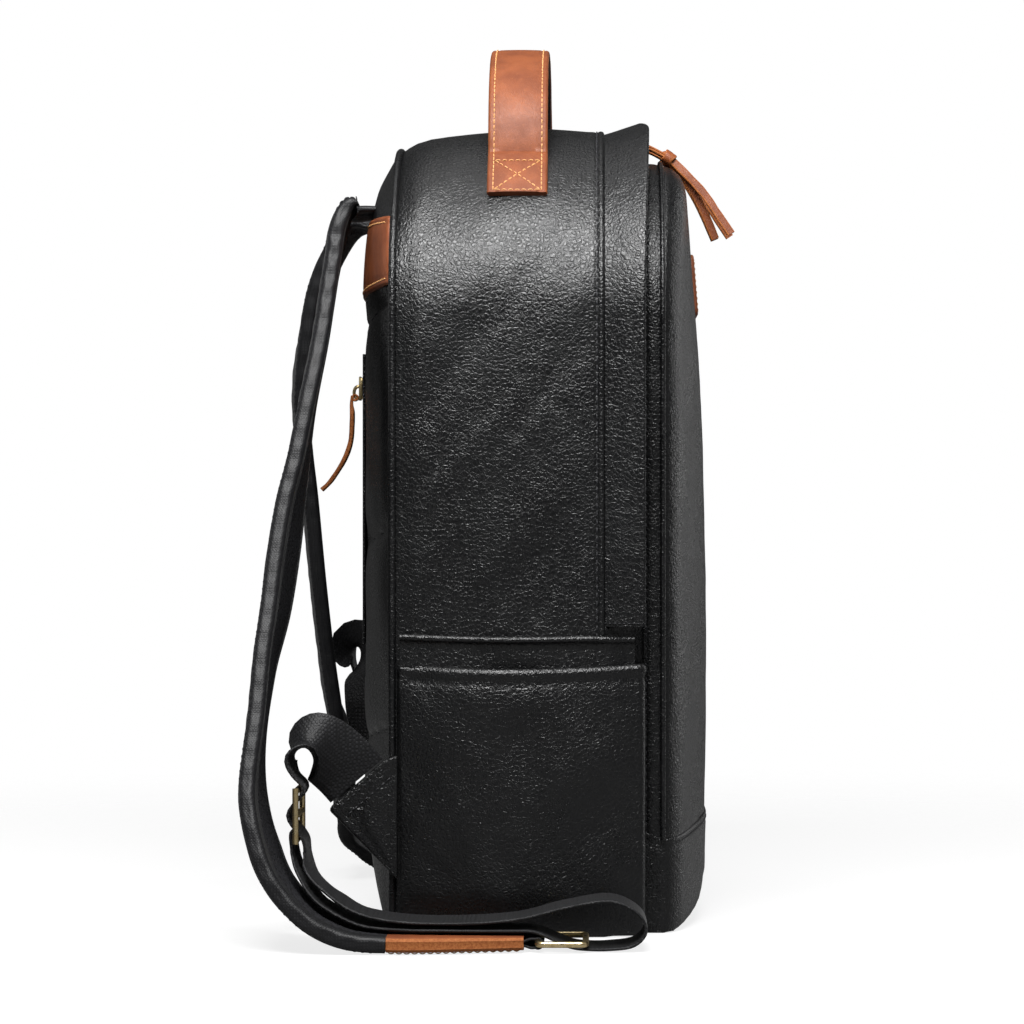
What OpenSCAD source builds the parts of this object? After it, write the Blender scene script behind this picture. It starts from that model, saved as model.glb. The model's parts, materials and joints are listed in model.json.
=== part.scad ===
// Leather city backpack: rounded-top leather body, fold-down front section with a hooded main zip,
// padded shoulder straps with webbing, bar slides and rings, two side pockets and a tan top handle.
// Millimetres. +Z is up, -Y is the front, +Y is the back panel; the origin is on the base, between the sides.

/* [Body] */
// Width of the body across the two side gussets
bag_w = 300; // [280:2:320]
// Height of the body from the base to the top of the gusset
bag_h = 427; // [410:1:450]
// Radius of the two rounded top corners
corner_r = 105; // [100:1:110]
// Depth of the body behind the main zip seam
rear_depth = 72; // [66:1:80]
// Distance from the origin forward to the main zip seam
seam_depth = 35; // [32:1:38]
// Thickness of the padded leather gusset
gusset_t = 3; // [2.5:0.1:3.5]
// How far the padded back panel bulges behind the gusset
back_crown = 25; // [20:1:28]

/* [Front section] */
// How far the front section is set in from the gusset all round
front_inset = 20; // [18:0.5:22]
// Distance from the origin to the seam of the front panel
front_seam = 66; // [64:1:68]
// Distance from the origin to the foremost point of the front panel
front_reach = 92; // [89:1:95]
// Height at which the main zip ends and the front section folds
fold_z = 160; // [150:2:170]
// Height of the leather bumper round the foot of the front
bumper_h = 52; // [40:1:60]
// Leather thickness of the shaped front
front_t = 2.5; // [2:0.1:3]

/* [Pockets] */
// Height of the rim of the side pocket
pocket_h = 138; // [120:1:145]
// Height of the rolled edge of the panel behind the side pocket
pocket_back_h = 156; // [150:1:158]
// How far the side pocket bulges from the gusset
pocket_bulge = 11; // [9:0.5:12]

/* [Handle] */
// Width of the handle strap
handle_w = 31.5; // [28:0.5:36]
// Height of the handle above the top of the body
handle_rise = 45; // [35:1:50]
// Distance from the origin back to the middle of the handle
handle_y = 10; // [6:1:14]

/* [Straps] */
// Width of the padded shoulder straps
pad_w = 60; // [56:1:62]
// Thickness of the padded shoulder straps
pad_t = 8; // [7:0.5:9]
// Width of the webbing
web_w = 36; // [34:1:37]
// Thickness of the webbing
web_t = 1.6; // [1.2:0.1:1.8]
// Diameter of the brass wire in the rings and slides
wire_d = 3.2; // [2.8:0.1:3.4]

/* [Hidden] */
$fn = 64;

black = [0.05, 0.05, 0.055];
lining = [0.10, 0.10, 0.11];
tan = [0.62, 0.27, 0.12];
brass = [0.72, 0.60, 0.36];
foam = [0.25, 0.25, 0.26];

corner_x = bag_w / 2 - corner_r;
corner_z = bag_h - corner_r;
inner_r = corner_r - gusset_t;
front_r = corner_r - front_inset;
gusset_gap = 0.1;
zip_end = fold_z + 1;
hood_edge = seam_depth + 19;
hood_flare = 6;
sheet_t = 1;

// Back panel: a cylinder across the width, closed by an arc at the top and a long arc at the foot.
back_half = bag_w / 2 - gusset_t;
back_y = rear_depth + back_crown;
back_r = (pow(back_half, 2) + pow(back_crown, 2)) / (2 * back_crown);
back_top_z = 383;
back_top_r = 47.8;
back_foot_z = 130;
back_foot_r = 395;
skin_t = 2.5;
foam_t = 9;

// Front panel: crowned across the width and up its height, with rolled edges.
crown_r = 430;
rise_r = 2600;
rise_z = 140;
edge_r = 14;
foot_r = 24;
foot_y = 66.5;

// The zip lies on a slope between the gusset and the front section.
zip_from = [corner_r - 5.3, -seam_depth];
zip_to = [front_r + 0.5, -(front_seam - 11)];
zip_len = norm(zip_to - zip_from);
zip_dir = (zip_to - zip_from) / zip_len;
zip_nrm = [-zip_dir[1], zip_dir[0]];
zip_mid = 12;
zip_tilt = atan2(zip_dir[0], zip_dir[1]) + 180;
zip_point = zip_from + zip_mid * zip_dir;
tooth_w = 2.5;
slider_pin = [-1, 5.2];
slider_left_x = -corner_x;
slider_right_x = -29;
pin_y = zip_point[1] - slider_pin[1] * sin(zip_tilt) + slider_pin[0] * cos(zip_tilt);
pin_z = corner_z + zip_point[0] + slider_pin[1] * cos(zip_tilt) + slider_pin[0] * sin(zip_tilt);

back_zip_x = -50;
back_zip_z = [150, 302];
back_slider_z = 286;
back_pin_y = sqrt(pow(back_r, 2) - pow(back_zip_x, 2)) + back_y - back_r + 3.4;

slide_size = [46, 28];
left_slide = [-174, 120, 66];
right_slide = [186, 111, 98];
left_ring = [-196, -14, 4.2];
right_ring = [204, -19, 4.2];

// Strap rows: place, width direction, width, thickness.
pad_rows_left = [
    [-60, 98, 379.8, -1, 0, 0, pad_w, 4], [-61, 103, 379, -1, 0, 0, pad_w, 6],
    [-64, 108, 368, -1, -0.04, 0, pad_w, pad_t], [-68, 110.5, 352, -1, -0.07, 0, pad_w, pad_t],
    [-74, 113, 333, -1, -0.07, 0, pad_w, pad_t], [-82, 116, 310, -1, -0.07, 0, pad_w, pad_t],
    [-94, 121.5, 276, -1, -0.06, 0, pad_w, pad_t], [-105, 126, 242, -1, 0, 0, pad_w, pad_t],
    [-115, 130, 214, -1, 0.07, 0, pad_w, pad_t], [-130, 135, 174, -1, 0.07, 0, pad_w, pad_t],
    [-144, 140, 142, -1, 0, 0, pad_w, pad_t], [-158, 142.5, 110, -1, -0.05, 0, pad_w, pad_t],
    [-172, 142.5, 80, -1, 0, 0, pad_w, pad_t], [-184, 138, 56, -1, 0.04, 0, pad_w, pad_t],
    [-192, 129, 34, -1, 0.03, 0, pad_w, pad_t], [-196, 113, 16, -1, 0, 0, pad_w, pad_t],
    [-196, 93, 6.6, -1, 0, 0, pad_w, pad_t], [-196, 73.3, 4.6, -1, 0, 0, pad_w, pad_t],
];
tip_rows_left = [
    [-196, 73, 4.6, -1, 0, 0, pad_w, pad_t], [-196, 55, 4.5, -1, 0, 0, pad_w, pad_t],
    [-196, 5, 4.5, -1, 0, 0, 44, pad_t - 1],
];
pad_rows_right = [
    [60, 98, 381.5, -1, 0, 0, pad_w, 4], [61, 104, 382, -1, 0, 0, pad_w, 6],
    [66, 115, 374, -1, 0, 0, pad_w, pad_t], [72, 128, 348, -1, 0, 0, pad_w, pad_t],
    [78, 137, 313, -1, -0.1, 0, pad_w, pad_t], [84, 140, 284, -1, -0.1, 0, pad_w, pad_t],
    [88, 138, 255, -1, -0.1, 0, pad_w, pad_t], [92, 135, 226, -1, -0.1, 0, pad_w, pad_t],
    [97, 131, 180, -1, -0.1, 0, pad_w, pad_t], [103, 127, 140, -1, -0.1, 0, pad_w, pad_t],
    [108, 123, 108, -1, -0.1, 0, pad_w, pad_t], [117, 119, 84, -1, 0, 0.1, pad_w, pad_t],
    [132, 117, 60, -1, 0, 0.2, pad_w, pad_t], [156, 116, 38, -1, 0, 0.2, pad_w, pad_t],
    [182, 108, 20, -1, 0, 0.1, pad_w, pad_t],
    [202, 92, 9, -1, 0, -0.05, pad_w, pad_t], [204, 79, 5.1, -1, 0, 0, pad_w, pad_t],
    [204, 73, 4.7, -1, 0, 0, pad_w, pad_t], [204, 68.6, 4.6, -1, 0, 0, pad_w, pad_t],
];
tip_rows_right = [
    [204, 68, 4.6, -1, 0, 0, pad_w, pad_t], [204, 50, 4.5, -1, 0, 0, pad_w, pad_t],
    [204, 0, 4.5, -1, 0, 0, 44, pad_t - 1],
];
web_rows_left = [
    [-153, 92, 81, 0, -0.76, 0.65], [-156, 98, 88, 0.05, -0.75, 0.65],
    [-161, 105, 95, 0.3, -0.68, 0.62], [-168, 112, 100, 0.65, -0.5, 0.5],
    [-172, 119, 100, 0.88, -0.3, 0.3], [-174, 124, 94, 0.98, -0.1, 0.1],
    [-174, 122, 86, 1, 0, 0], [-174, 116.8, 78.4, 1, 0, 0], [-174, 124.4, 66, 1, 0, 0],
    [-174, 116.8, 53.6, 1, 0, 0], [-174, 115.5, 45, 1, 0, 0], [-177, 112, 36, 1, 0, 0],
    [-184, 103, 27.5, 1, 0, 0], [-192, 87, 18.5, 1, 0, 0], [-195, 66, 14.5, 1, 0, 0],
    [-196, 36, 14, 1, 0, 0], [-196, 8, 16, 1, 0, 0], [-196, -16, 22, 1, 0, 0],
    [-196, -38, 25, 1, 0, 0], [-196, -52, 19, 1, 0, 0], [-196, -56, 10, 1, 0, 0],
    [-196, -50, 3.2, 1, 0, 0], [-196, -38, 1.4, 1, 0, 0], [-196, -26, 1.3, 1, 0, 0],
    [-196, -18, 2.5, 1, 0, 0], [-196, -10, 6, 1, 0, 0], [-196, 0, 9.8, 1, 0, 0],
    [-196, 12, 10.2, 1, 0, 0], [-196, 44, 10.4, 1, 0, 0], [-195, 68, 10.8, 1, 0, 0],
    [-192, 88, 13.2, 1, 0, 0], [-186, 106, 22, 1, 0, 0], [-180, 116, 33, 1, 0, 0],
    [-175, 121, 44, 1, 0, 0], [-174, 122.8, 53.6, 1, 0, 0], [-174, 122.6, 58, 1, 0, 0],
];
web_rows_right = [
    [153, 92, 81, 0, 0.76, -0.65], [156, 98, 88, 0, 0.76, -0.65],
    [157.5, 101, 99, 0, 0.76, -0.65], [158.5, 102.5, 112, 0.05, 0.75, -0.65],
    [161, 104.5, 125, 0.3, 0.7, -0.62], [168, 108, 135, 0.7, 0.5, -0.45],
    [178, 113, 138, 0.95, 0.15, -0.15], [184, 116, 135, 1, 0, 0],
    [186, 116, 127, 1, 0, 0], [186, 113, 118, 1, 0, 0],
    [186, 107.8, 110.4, 1, 0, 0], [186, 115.4, 98, 1, 0, 0], [186, 107.8, 85.6, 1, 0, 0],
    [186.5, 106.5, 77, 1, 0, 0], [188, 101, 64, 1, 0, 0],
    [191, 94, 48, 1, 0, 0], [196, 83, 32, 1, 0, 0], [201.5, 70, 20.5, 1, 0, 0],
    [204, 52, 15.5, 1, 0, 0], [204, 30, 14, 1, 0, 0], [204, 2, 16, 1, 0, 0],
    [204, -21, 22, 1, 0, 0], [204, -43, 25, 1, 0, 0], [204, -57, 19, 1, 0, 0],
    [204, -61, 10, 1, 0, 0], [204, -55, 3.2, 1, 0, 0], [204, -43, 1.4, 1, 0, 0],
    [204, -31, 1.3, 1, 0, 0], [204, -23, 2.5, 1, 0, 0], [204, -15, 6, 1, 0, 0],
    [204, -5, 9.8, 1, 0, 0], [204, 8, 10.2, 1, 0, 0], [204, 40, 10.4, 1, 0, 0],
    [203, 61, 11, 1, 0, 0], [200.5, 78, 15.5, 1, 0, 0], [196, 91, 27, 1, 0, 0],
    [191, 101, 46, 1, 0, 0], [187.5, 107.5, 62, 1, 0, 0], [186.2, 112.3, 76, 1, 0, 0],
    [186, 113.8, 85.6, 1, 0, 0], [186, 113.6, 90, 1, 0, 0],
];

function at(row) = [row[0], row[1], row[2]];
function wide(row) = [row[3], row[4], row[5]];
function unit(v) = v / norm(v);
function spline(a, b, c, d, t) =
    0.5 * (2 * b + (c - a) * t + (2 * a - 5 * b + 4 * c - d) * t * t + (3 * b - a - 3 * c + d) * t * t * t);
function smooth(p, n) = [
    for (i = [0 : len(p) - 2], k = [0 : n - 1])
        spline(p[max(i - 1, 0)], p[i], p[i + 1], p[min(i + 2, len(p) - 1)], k / n),
    p[len(p) - 1],
];

// A band swept along a row list; low and high are fractions of its thickness across the band.
module ribbon(rows, low = -0.5, high = 0.5, n = 3) {
    s = smooth(rows, n);
    last = len(s) - 1;
    ring = [
        for (i = [0 : last])
            let (
                t = unit(at(s[min(i + 1, last)]) - at(s[max(i - 1, 0)])),
                w = unit(wide(s[i]) - (wide(s[i]) * t) * t) * s[i][6] / 2,
                u = unit(cross(t, w)) * s[i][7]
            )
            each [
                at(s[i]) - w + low * u, at(s[i]) + w + low * u,
                at(s[i]) + w + high * u, at(s[i]) - w + high * u,
            ]
    ];
    sides = [
        for (i = [0 : last - 1], k = [0 : 3])
            let (a = 4 * i + k, b = 4 * i + (k + 1) % 4)
            each (k == 2 ? [[a, a + 4, b + 4], [a, b + 4, b]] : [[a, a + 4, b], [b, a + 4, b + 4]])
    ];
    top = 4 * last;
    polyhedron(
        points = ring,
        faces = concat(sides, [[0, 1, 2], [0, 2, 3], [top + 2, top + 1, top], [top + 3, top + 2, top]])
    );
}

// A profile of radius and depth swept up one side, over the top and down the other side of the body.
module arch_sweep(low) {
    for (side = [0, 1]) mirror([side, 0, 0]) {
        translate([corner_x, 0, low]) linear_extrude(corner_z - low) children();
        translate([corner_x, 0, corner_z]) rotate([90, 0, 0])
            rotate_extrude(angle = 90) mirror([0, 1]) children();
    }
    translate([corner_x, 0, corner_z]) rotate([0, -90, 0]) linear_extrude(2 * corner_x) children();
}

module arch_outline(r, low) {
    half = corner_x + r;
    translate([-half, low]) square([2 * half, corner_z - low]);
    for (side = [-1, 1]) translate([side * corner_x, corner_z]) circle(r);
    translate([-corner_x, corner_z]) square([2 * corner_x, r]);
}

// A solid with the body's outline between two depths.
module arch_solid(r, low, front, back) {
    translate([0, back, 0]) rotate([90, 0, 0]) linear_extrude(back - front) arch_outline(r, low);
}

module side_profile() {
    translate([-bag_w, 0, 0]) rotate([90, 0, 90]) linear_extrude(2 * bag_w) children();
}

module slab(low, high) {
    translate(low) cube(high - low);
}

// The space inside the back panel, set in by t.
module back_space(t) {
    intersection() {
        translate([0, back_y - back_r, -1]) cylinder(h = bag_h + 10, r = back_r - t, $fn = 720);
        side_profile() {
            translate([0, back_foot_z]) square([back_y - t, back_top_z - back_foot_z]);
            translate([back_y - back_top_r, back_top_z]) circle(back_top_r - t, $fn = 180);
            intersection() {
                translate([back_y - back_foot_r, back_foot_z]) circle(back_foot_r - t, $fn = 720);
                translate([0, -1]) square([back_y, back_foot_z + 1]);
            }
            translate([0, back_top_z]) square([back_y - back_top_r, bag_h - back_top_z]);
        }
    }
}

module back_layer(outer, inner) {
    intersection() {
        difference() {
            back_space(outer);
            back_space(inner);
        }
        arch_solid(inner_r - gusset_gap, gusset_t, 40, back_y + 1);
    }
}

// The shaped front, set in by t: its edge is rounded all the way along the outline.
module front_space(t) {
    core = front_r - edge_r;
    intersection() {
        union() {
            arch_sweep(-1) union() {
                translate([0, -front_reach - 5]) square([core, front_reach + 5 - front_seam]);
                intersection() {
                    translate([core, 1 - front_seam]) circle(edge_r - t, $fn = 120);
                    translate([core - 1, -front_reach - 5]) square([edge_r + 1, front_reach + 5 - front_seam]);
                }
            }
            slab([-corner_x, -front_reach - 5, -1], [corner_x, -front_seam, corner_z]);
        }
        translate([0, crown_r - front_reach, -1]) cylinder(h = bag_h, r = crown_r - t, $fn = 720);
        side_profile() intersection() {
            translate([rise_r - front_reach, rise_z]) circle(rise_r - t, $fn = 1440);
            union() {
                translate([-front_reach - 5, foot_r]) square([front_reach, bag_h]);
                translate([-foot_y, foot_r]) circle(foot_r - t);
                translate([-foot_y, t]) square([foot_y, foot_r]);
            }
        }
    }
}

module front_skin(low, high) {
    intersection() {
        difference() {
            front_space(0);
            front_space(front_t);
        }
        slab([-bag_w, -bag_w, low], [bag_w, 0, high]);
    }
}

module zip_strip(from, to, half) {
    a = zip_from + from * zip_dir;
    b = zip_from + to * zip_dir;
    polygon([a - half * zip_nrm, b - half * zip_nrm, b + half * zip_nrm, a + half * zip_nrm]);
}

// ---- Body ----
module main_gusset() {
    color(black) arch_sweep(gusset_t)
        translate([inner_r, -seam_depth]) square([gusset_t, seam_depth + rear_depth]);
}

module base_panel() {
    half = bag_w / 2;
    near = half - front_inset;
    color(black) {
        linear_extrude(gusset_t) polygon([
            [-half, rear_depth], [-half, -seam_depth], [-near, 11 - front_seam], [-near, -front_seam],
            [near, -front_seam], [near, 11 - front_seam], [half, -seam_depth], [half, rear_depth],
        ]);
        intersection() {
            back_space(0);
            slab([-back_half, rear_depth - 5, 0], [back_half, back_y, gusset_t]);
        }
    }
}

module base_board() {
    near = bag_w / 2 - front_inset;
    color(lining) translate([0, 0, gusset_t]) linear_extrude(2) polygon([
        [1 - back_half, 58], [1 - back_half, -33], [2 - near, -51],
        [near - 2, -51], [back_half - 1, -33], [back_half - 1, 58],
    ]);
}

module corner_gussets() {
    half = bag_w / 2;
    near = half - front_inset;
    color(black) for (side = [0, 1]) mirror([side, 0, 0])
        translate([0, 0, gusset_t]) linear_extrude(fold_z - gusset_t - 1) polygon([
            [half, -seam_depth], [near, 11 - front_seam], [near - gusset_t, 11 - front_seam],
            [half - gusset_t, -seam_depth],
        ]);
}

module zip_hood() {
    root = inner_r - 1.8;
    color(black) arch_sweep(zip_end) polygon([
        [inner_r, 7 - seam_depth], [root, 7 - seam_depth], [root, -seam_depth],
        [root + hood_flare, -hood_edge], [inner_r + hood_flare, -hood_edge], [inner_r, -seam_depth],
    ]);
}

module rear_zip_tape() {
    root = inner_r - 1.8;
    color(black) arch_sweep(zip_end) {
        polygon([
            [root, 7 - seam_depth], [root - sheet_t, 7 - seam_depth], [root - sheet_t, -seam_depth],
            [root, -seam_depth],
        ]);
        zip_strip(0.4, zip_mid - tooth_w, sheet_t / 2);
        zip_strip(zip_mid - tooth_w - 0.1, zip_mid - 0.1, 1.2);
    }
}

// ---- Back ----
module back_panel() {
    color(black) back_layer(0, skin_t);
}

module back_foam() {
    color(foam) back_layer(skin_t + 0.02, skin_t + foam_t);
}

module back_yoke() {
    color(tan) intersection() {
        difference() {
            translate([0, back_y - back_r, 332]) cylinder(h = 44, r = back_r + 2.6, $fn = 720);
            translate([0, back_y - back_r, 331]) cylinder(h = 46, r = back_r + 0.05, $fn = 720);
        }
        arch_solid(corner_r - 5, 0, 70, back_y + 5);
    }
}

module back_piping() {
    color(black) arch_sweep(gusset_t) translate([corner_r - 1, rear_depth + 2.3]) circle(2);
}

module back_zip_tape() {
    color(black) intersection() {
        difference() {
            translate([0, back_y - back_r, back_zip_z[0]])
                cylinder(h = back_zip_z[1] - back_zip_z[0], r = back_r + 1, $fn = 720);
            translate([0, back_y - back_r, 0]) cylinder(h = bag_h, r = back_r + 0.05, $fn = 720);
        }
        slab([back_zip_x - 12, 80, 0], [back_zip_x + 12, back_y + 5, bag_h]);
    }
}

module back_zip_slider() {
    color(brass) translate([back_zip_x, back_pin_y, back_slider_z]) {
        slab([-4.5, -1.5, -7], [4.5, -0.2, 7]);
        for (end = [-1, 1]) slab([-0.8 + 1.8 * end, -0.3, -6.2], [0.8 + 1.8 * end, 3.2, -3.8]);
        translate([-2.6, 2, -5]) rotate([0, 90, 0]) cylinder(h = 5.2, r = 0.8);
    }
}

module back_zip_pull() {
    pin = [back_zip_x, back_pin_y + 2, back_slider_z - 5];
    color(tan) {
        translate(pin) difference() {
            union() {
                translate([-0.8, 0, 0]) rotate([0, 90, 0]) cylinder(h = 1.6, r = 2);
                slab([-0.8, 0.9, -8], [0.8, 1.9, 0]);
            }
            translate([-3, 0, 0]) rotate([0, 90, 0]) cylinder(h = 6, r = 0.95);
        }
        ribbon([
            for (p = [[1.5, -7.5], [1.6, -14], [2.4, -24], [6, -34], [13, -45], [18, -50]])
                [pin[0], pin[1] + p[0], pin[2] + p[1], -1, 0, 0, p[1] < -40 ? 7 : 11, 2.2]
        ]);
    }
}

// ---- Front ----
module front_gusset_lower() {
    near = corner_x + front_r;
    color(black) for (side = [0, 1]) mirror([side, 0, 0])
        slab([near - 2, -front_seam, gusset_t], [near, 11 - front_seam, fold_z]);
}

module front_panel_lower() {
    color(black) front_skin(bumper_h, fold_z);
}

module front_bumper() {
    color(black) front_skin(0, bumper_h);
}

module front_piping_profile() {
    translate([front_r + 1.3, -front_seam]) circle(1.2);
}

module front_piping_lower() {
    color(black) for (side = [0, 1]) mirror([side, 0, 0])
        translate([corner_x, 0, 1]) linear_extrude(fold_z - 1) front_piping_profile();
}

module front_gusset_upper() {
    color(black) arch_sweep(zip_end) translate([front_r - 2, -front_seam]) square([2, 11]);
}

module front_panel_upper() {
    color(black) front_skin(zip_end, bag_h);
}

module front_piping_upper() {
    color(black) arch_sweep(zip_end) front_piping_profile();
}

module front_zip_tape() {
    color(black) arch_sweep(zip_end) {
        zip_strip(zip_mid + tooth_w, zip_len - 0.2, sheet_t / 2);
        zip_strip(zip_mid + 0.1, zip_mid + tooth_w + 0.1, 1.2);
    }
}

module organiser_pocket() {
    color(lining) intersection() {
        arch_solid(front_r - 2.1, zip_end, -62, -60.5);
        slab([-bag_w, -bag_w, zip_end], [bag_w, 0, 330]);
    }
}

module front_patch() {
    color(tan) intersection() {
        difference() {
            front_space(-2.4);
            front_space(-0.02);
        }
        slab([-28, -bag_w, 327], [28, 0, 360.5]);
    }
}

// ---- Main zip sliders and pulls ----
module zip_slider(x) {
    color(brass) {
        translate([x, zip_point[1], corner_z + zip_point[0]]) rotate([zip_tilt, 0, 0]) {
            slab([-7, -4.5, 1.6], [7, 4.5, 3]);
            for (end = [-1, 1]) slab([3.2 * end - 0.9, slider_pin[0] - 1.2, 2.8],
                [3.2 * end + 0.9, slider_pin[0] + 1.2, slider_pin[1] + 0.6]);
        }
        translate([x - 3.5, pin_y, pin_z]) rotate([0, 90, 0]) cylinder(h = 7, r = 0.9);
    }
}

// A leather lace looped round the slider's pin, knotted and left with two loose tails.
module zip_pull(x, lean) {
    loop = [[-1.5, 0.4, 3.4], [-4.6, 0.4, 3.4], [-7, 0, 6], [-11, -1.2, 7], [-16, -3.6, 7], [-20, -5.8, 7]];
    tail_a = [[-22, -7.5], [-26, -11], [-32.6, -19.6], [-37.4, -28], [-42.4, -38], [-47.6, -50.4]];
    tail_b = [[-22, -6.5], [-26.6, -10.9], [-35.9, -20.4], [-42.4, -28.1], [-48.9, -37.9], [-56, -48.4]];
    color(tan) {
        difference() {
            translate([x - 1.8, pin_y, pin_z]) rotate([0, 90, 0]) cylinder(h = 3.6, r = 2.1);
            translate([x - 3, pin_y, pin_z]) rotate([0, 90, 0]) cylinder(h = 6, r = 1);
        }
        ribbon([for (p = loop) [x, pin_y + p[0] - 0.2, pin_z + p[1], -1, 0, 0, p[2], 2.4]]);
        ribbon([
            for (p = tail_a)
                [x + 1.1 - lean * (p[0] + 22) / 26, pin_y + p[0], pin_z + p[1], 0, 0.8, -0.6, 4.6, 2]
        ]);
        ribbon([
            for (p = tail_b)
                [x - 1.1 + lean * (p[0] + 22) / 34, pin_y + p[0], pin_z + p[1], 0, 0.8, -0.6, 4.6, 2]
        ]);
        translate([x - 4, pin_y - 21.9, pin_z - 6.7]) rotate([0, 90, 0]) cylinder(h = 8, r = 3.2);
    }
}

// ---- Handle ----
handle_foot = 36;
handle_head = 54;
handle_span = corner_x + (corner_r + 2) * cos(handle_head);
handle_base = corner_z + (corner_r + 2) * sin(handle_head);
handle_top = bag_h + handle_rise;
function handle_point(k, t) =
    k < 0 ? [-corner_x - (corner_r + t) * cos(handle_foot), corner_z + (corner_r + t) * sin(handle_foot)] :
    [-corner_x - (corner_r + t) * cos(k), corner_z + (corner_r + t) * sin(k)];
function handle_path(t) = concat(
    [for (k = [handle_foot : 3 : handle_head]) handle_point(k, t)],
    [
        for (k = [0.35, 1, 2, 3, 4, 5, 6, 7, 8, 9, 10, 11, 12, 13, 13.65])
            let (a = -180 + 180 * k / 14, lift = handle_top - handle_base)
            [
                (handle_span + t - 1.9) * sign(cos(a)) * pow(abs(cos(a)), 0.85),
                handle_base + lift * pow(sin(-a), 0.9) + t - 2,
            ]
    ],
    [for (k = [handle_head : -3 : handle_foot]) let (p = handle_point(k, t)) [-p[0], p[1]]]
);

module handle_leather() {
    color(tan) ribbon([for (p = handle_path(1.9)) [p[0], handle_y, p[1], 0, 1, 0, handle_w, 3]], n = 2);
}

module handle_lining() {
    rows = [for (p = handle_path(-0.8)) [p[0], handle_y, p[1], 0, 1, 0, handle_w - 1, 1.8]];
    color(lining) ribbon([for (i = [10 : len(rows) - 11]) rows[i]], n = 2);
}

// ---- Pockets ----
module pocket_plan(t) {
    chord = (rear_depth - 2 + 54) / 2;
    mid = rear_depth - 2 - chord;
    r = (pow(chord, 2) + pow(pocket_bulge, 2)) / (2 * pocket_bulge);
    intersection() {
        translate([r - bag_w / 2 - pocket_bulge, mid]) circle(r - t);
        translate([-bag_w / 2 - 30, t - 57]) square([30 + front_inset - 1, 127 - 2 * t]);
    }
}

module body_side() {
    half = bag_w / 2 + 0.3;
    near = half - front_inset;
    polygon([
        [-half, 90], [-half, -seam_depth], [-near, 11 - front_seam], [-near, -90], [0, -90], [0, 90],
    ]);
}

module pocket() {
    color(black) {
        translate([0, 0, gusset_t]) linear_extrude(pocket_h - gusset_t) difference() {
            pocket_plan(0);
            body_side();
            pocket_plan(2.4);
        }
        translate([0, 0, 0.5]) linear_extrude(gusset_t - 0.5) difference() {
            pocket_plan(0);
            body_side();
        }
    }
}

module pocket_back() {
    near = -bag_w / 2 - 0.3;
    color(black) {
        slab([near - 1.8, -seam_depth, gusset_t], [near, 53, pocket_back_h - 2]);
        translate([near - 1.6, 53, pocket_back_h - 2])
            rotate([90, 0, 0]) cylinder(h = 53 + seam_depth, r = 1.6);
    }
}

// ---- Laptop sleeve ----
module laptop_sleeve() {
    color(lining) difference() {
        slab([-128, 36, gusset_t + 2.1], [128, 62, 290]);
        slab([-124, 44, gusset_t + 6], [124, 63, 291]);
        slab([-125, 38, gusset_t + 6], [125, 42, 288]);
    }
}

module laptop_foam() {
    color(foam) slab([-124.8, 38.1, gusset_t + 6.2], [124.8, 41.9, 287.8]);
}

// ---- Straps ----
module strap_tip(rows) {
    color(tan) ribbon(rows);
}

module strap_ring(place) {
    r = 3;
    half = [slide_size[0] / 2 - wire_d / 2, 13.5 - wire_d / 2];
    color(brass) translate(place) {
        for (s = [-1, 1]) {
            translate([s * half[0], r - half[1], 0])
                rotate([-90, 0, 0]) cylinder(h = 2 * (half[1] - r), d = wire_d);
            translate([r - half[0], s * half[1], 0])
                rotate([0, 90, 0]) cylinder(h = 2 * (half[0] - r), d = wire_d);
        }
        for (k = [0 : 3]) rotate([0, 0, 90 * k])
            translate(k % 2 == 0 ? [half[0] - r, half[1] - r, 0] : [half[1] - r, half[0] - r, 0])
                rotate_extrude(angle = 90) translate([r, 0]) circle(d = wire_d);
    }
}

// The bar slide stands upright: an outer frame with a middle bar.
module strap_slide(place) {
    half = slide_size / 2 - [wire_d / 2, wire_d / 2];
    color(brass) translate(place) {
        for (s = [-1, 1]) translate([s * half[0], 0, -half[1] - wire_d / 2])
            cylinder(h = slide_size[1], d = wire_d);
        for (k = [-1 : 1]) translate([-half[0], 0, k * half[1]]) rotate([0, 90, 0])
            cylinder(h = 2 * half[0], d = wire_d);
    }
}

module ring_keeper(place) {
    bar = 13.5 - wire_d / 2;
    color(black) translate([place[0], place[1] + bar, place[2]]) difference() {
        union() {
            translate([-17, 0, 0]) rotate([0, 90, 0]) cylinder(h = 34, r = 3.3);
            slab([-17, 0, -1.5], [17, 6.9, 1.5]);
        }
        translate([-18, 0, 0]) rotate([0, 90, 0]) cylinder(h = 36, r = wire_d / 2 + 0.08);
    }
}

module webbing(rows) {
    color(black) ribbon([for (p = rows) concat(p, [web_w, web_t])], n = 2);
}

// A triangular leather tab sewn to the rear seam beside the piping; its open edge holds the webbing.
module anchor_tab() {
    color(black) translate([-154.6, 0, 0]) rotate([90, 0, 90]) linear_extrude(3.6)
        polygon([[71, 30], [106, 65.5], [105, 68], [78, 91.5], [71, 94]]);
}

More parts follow.
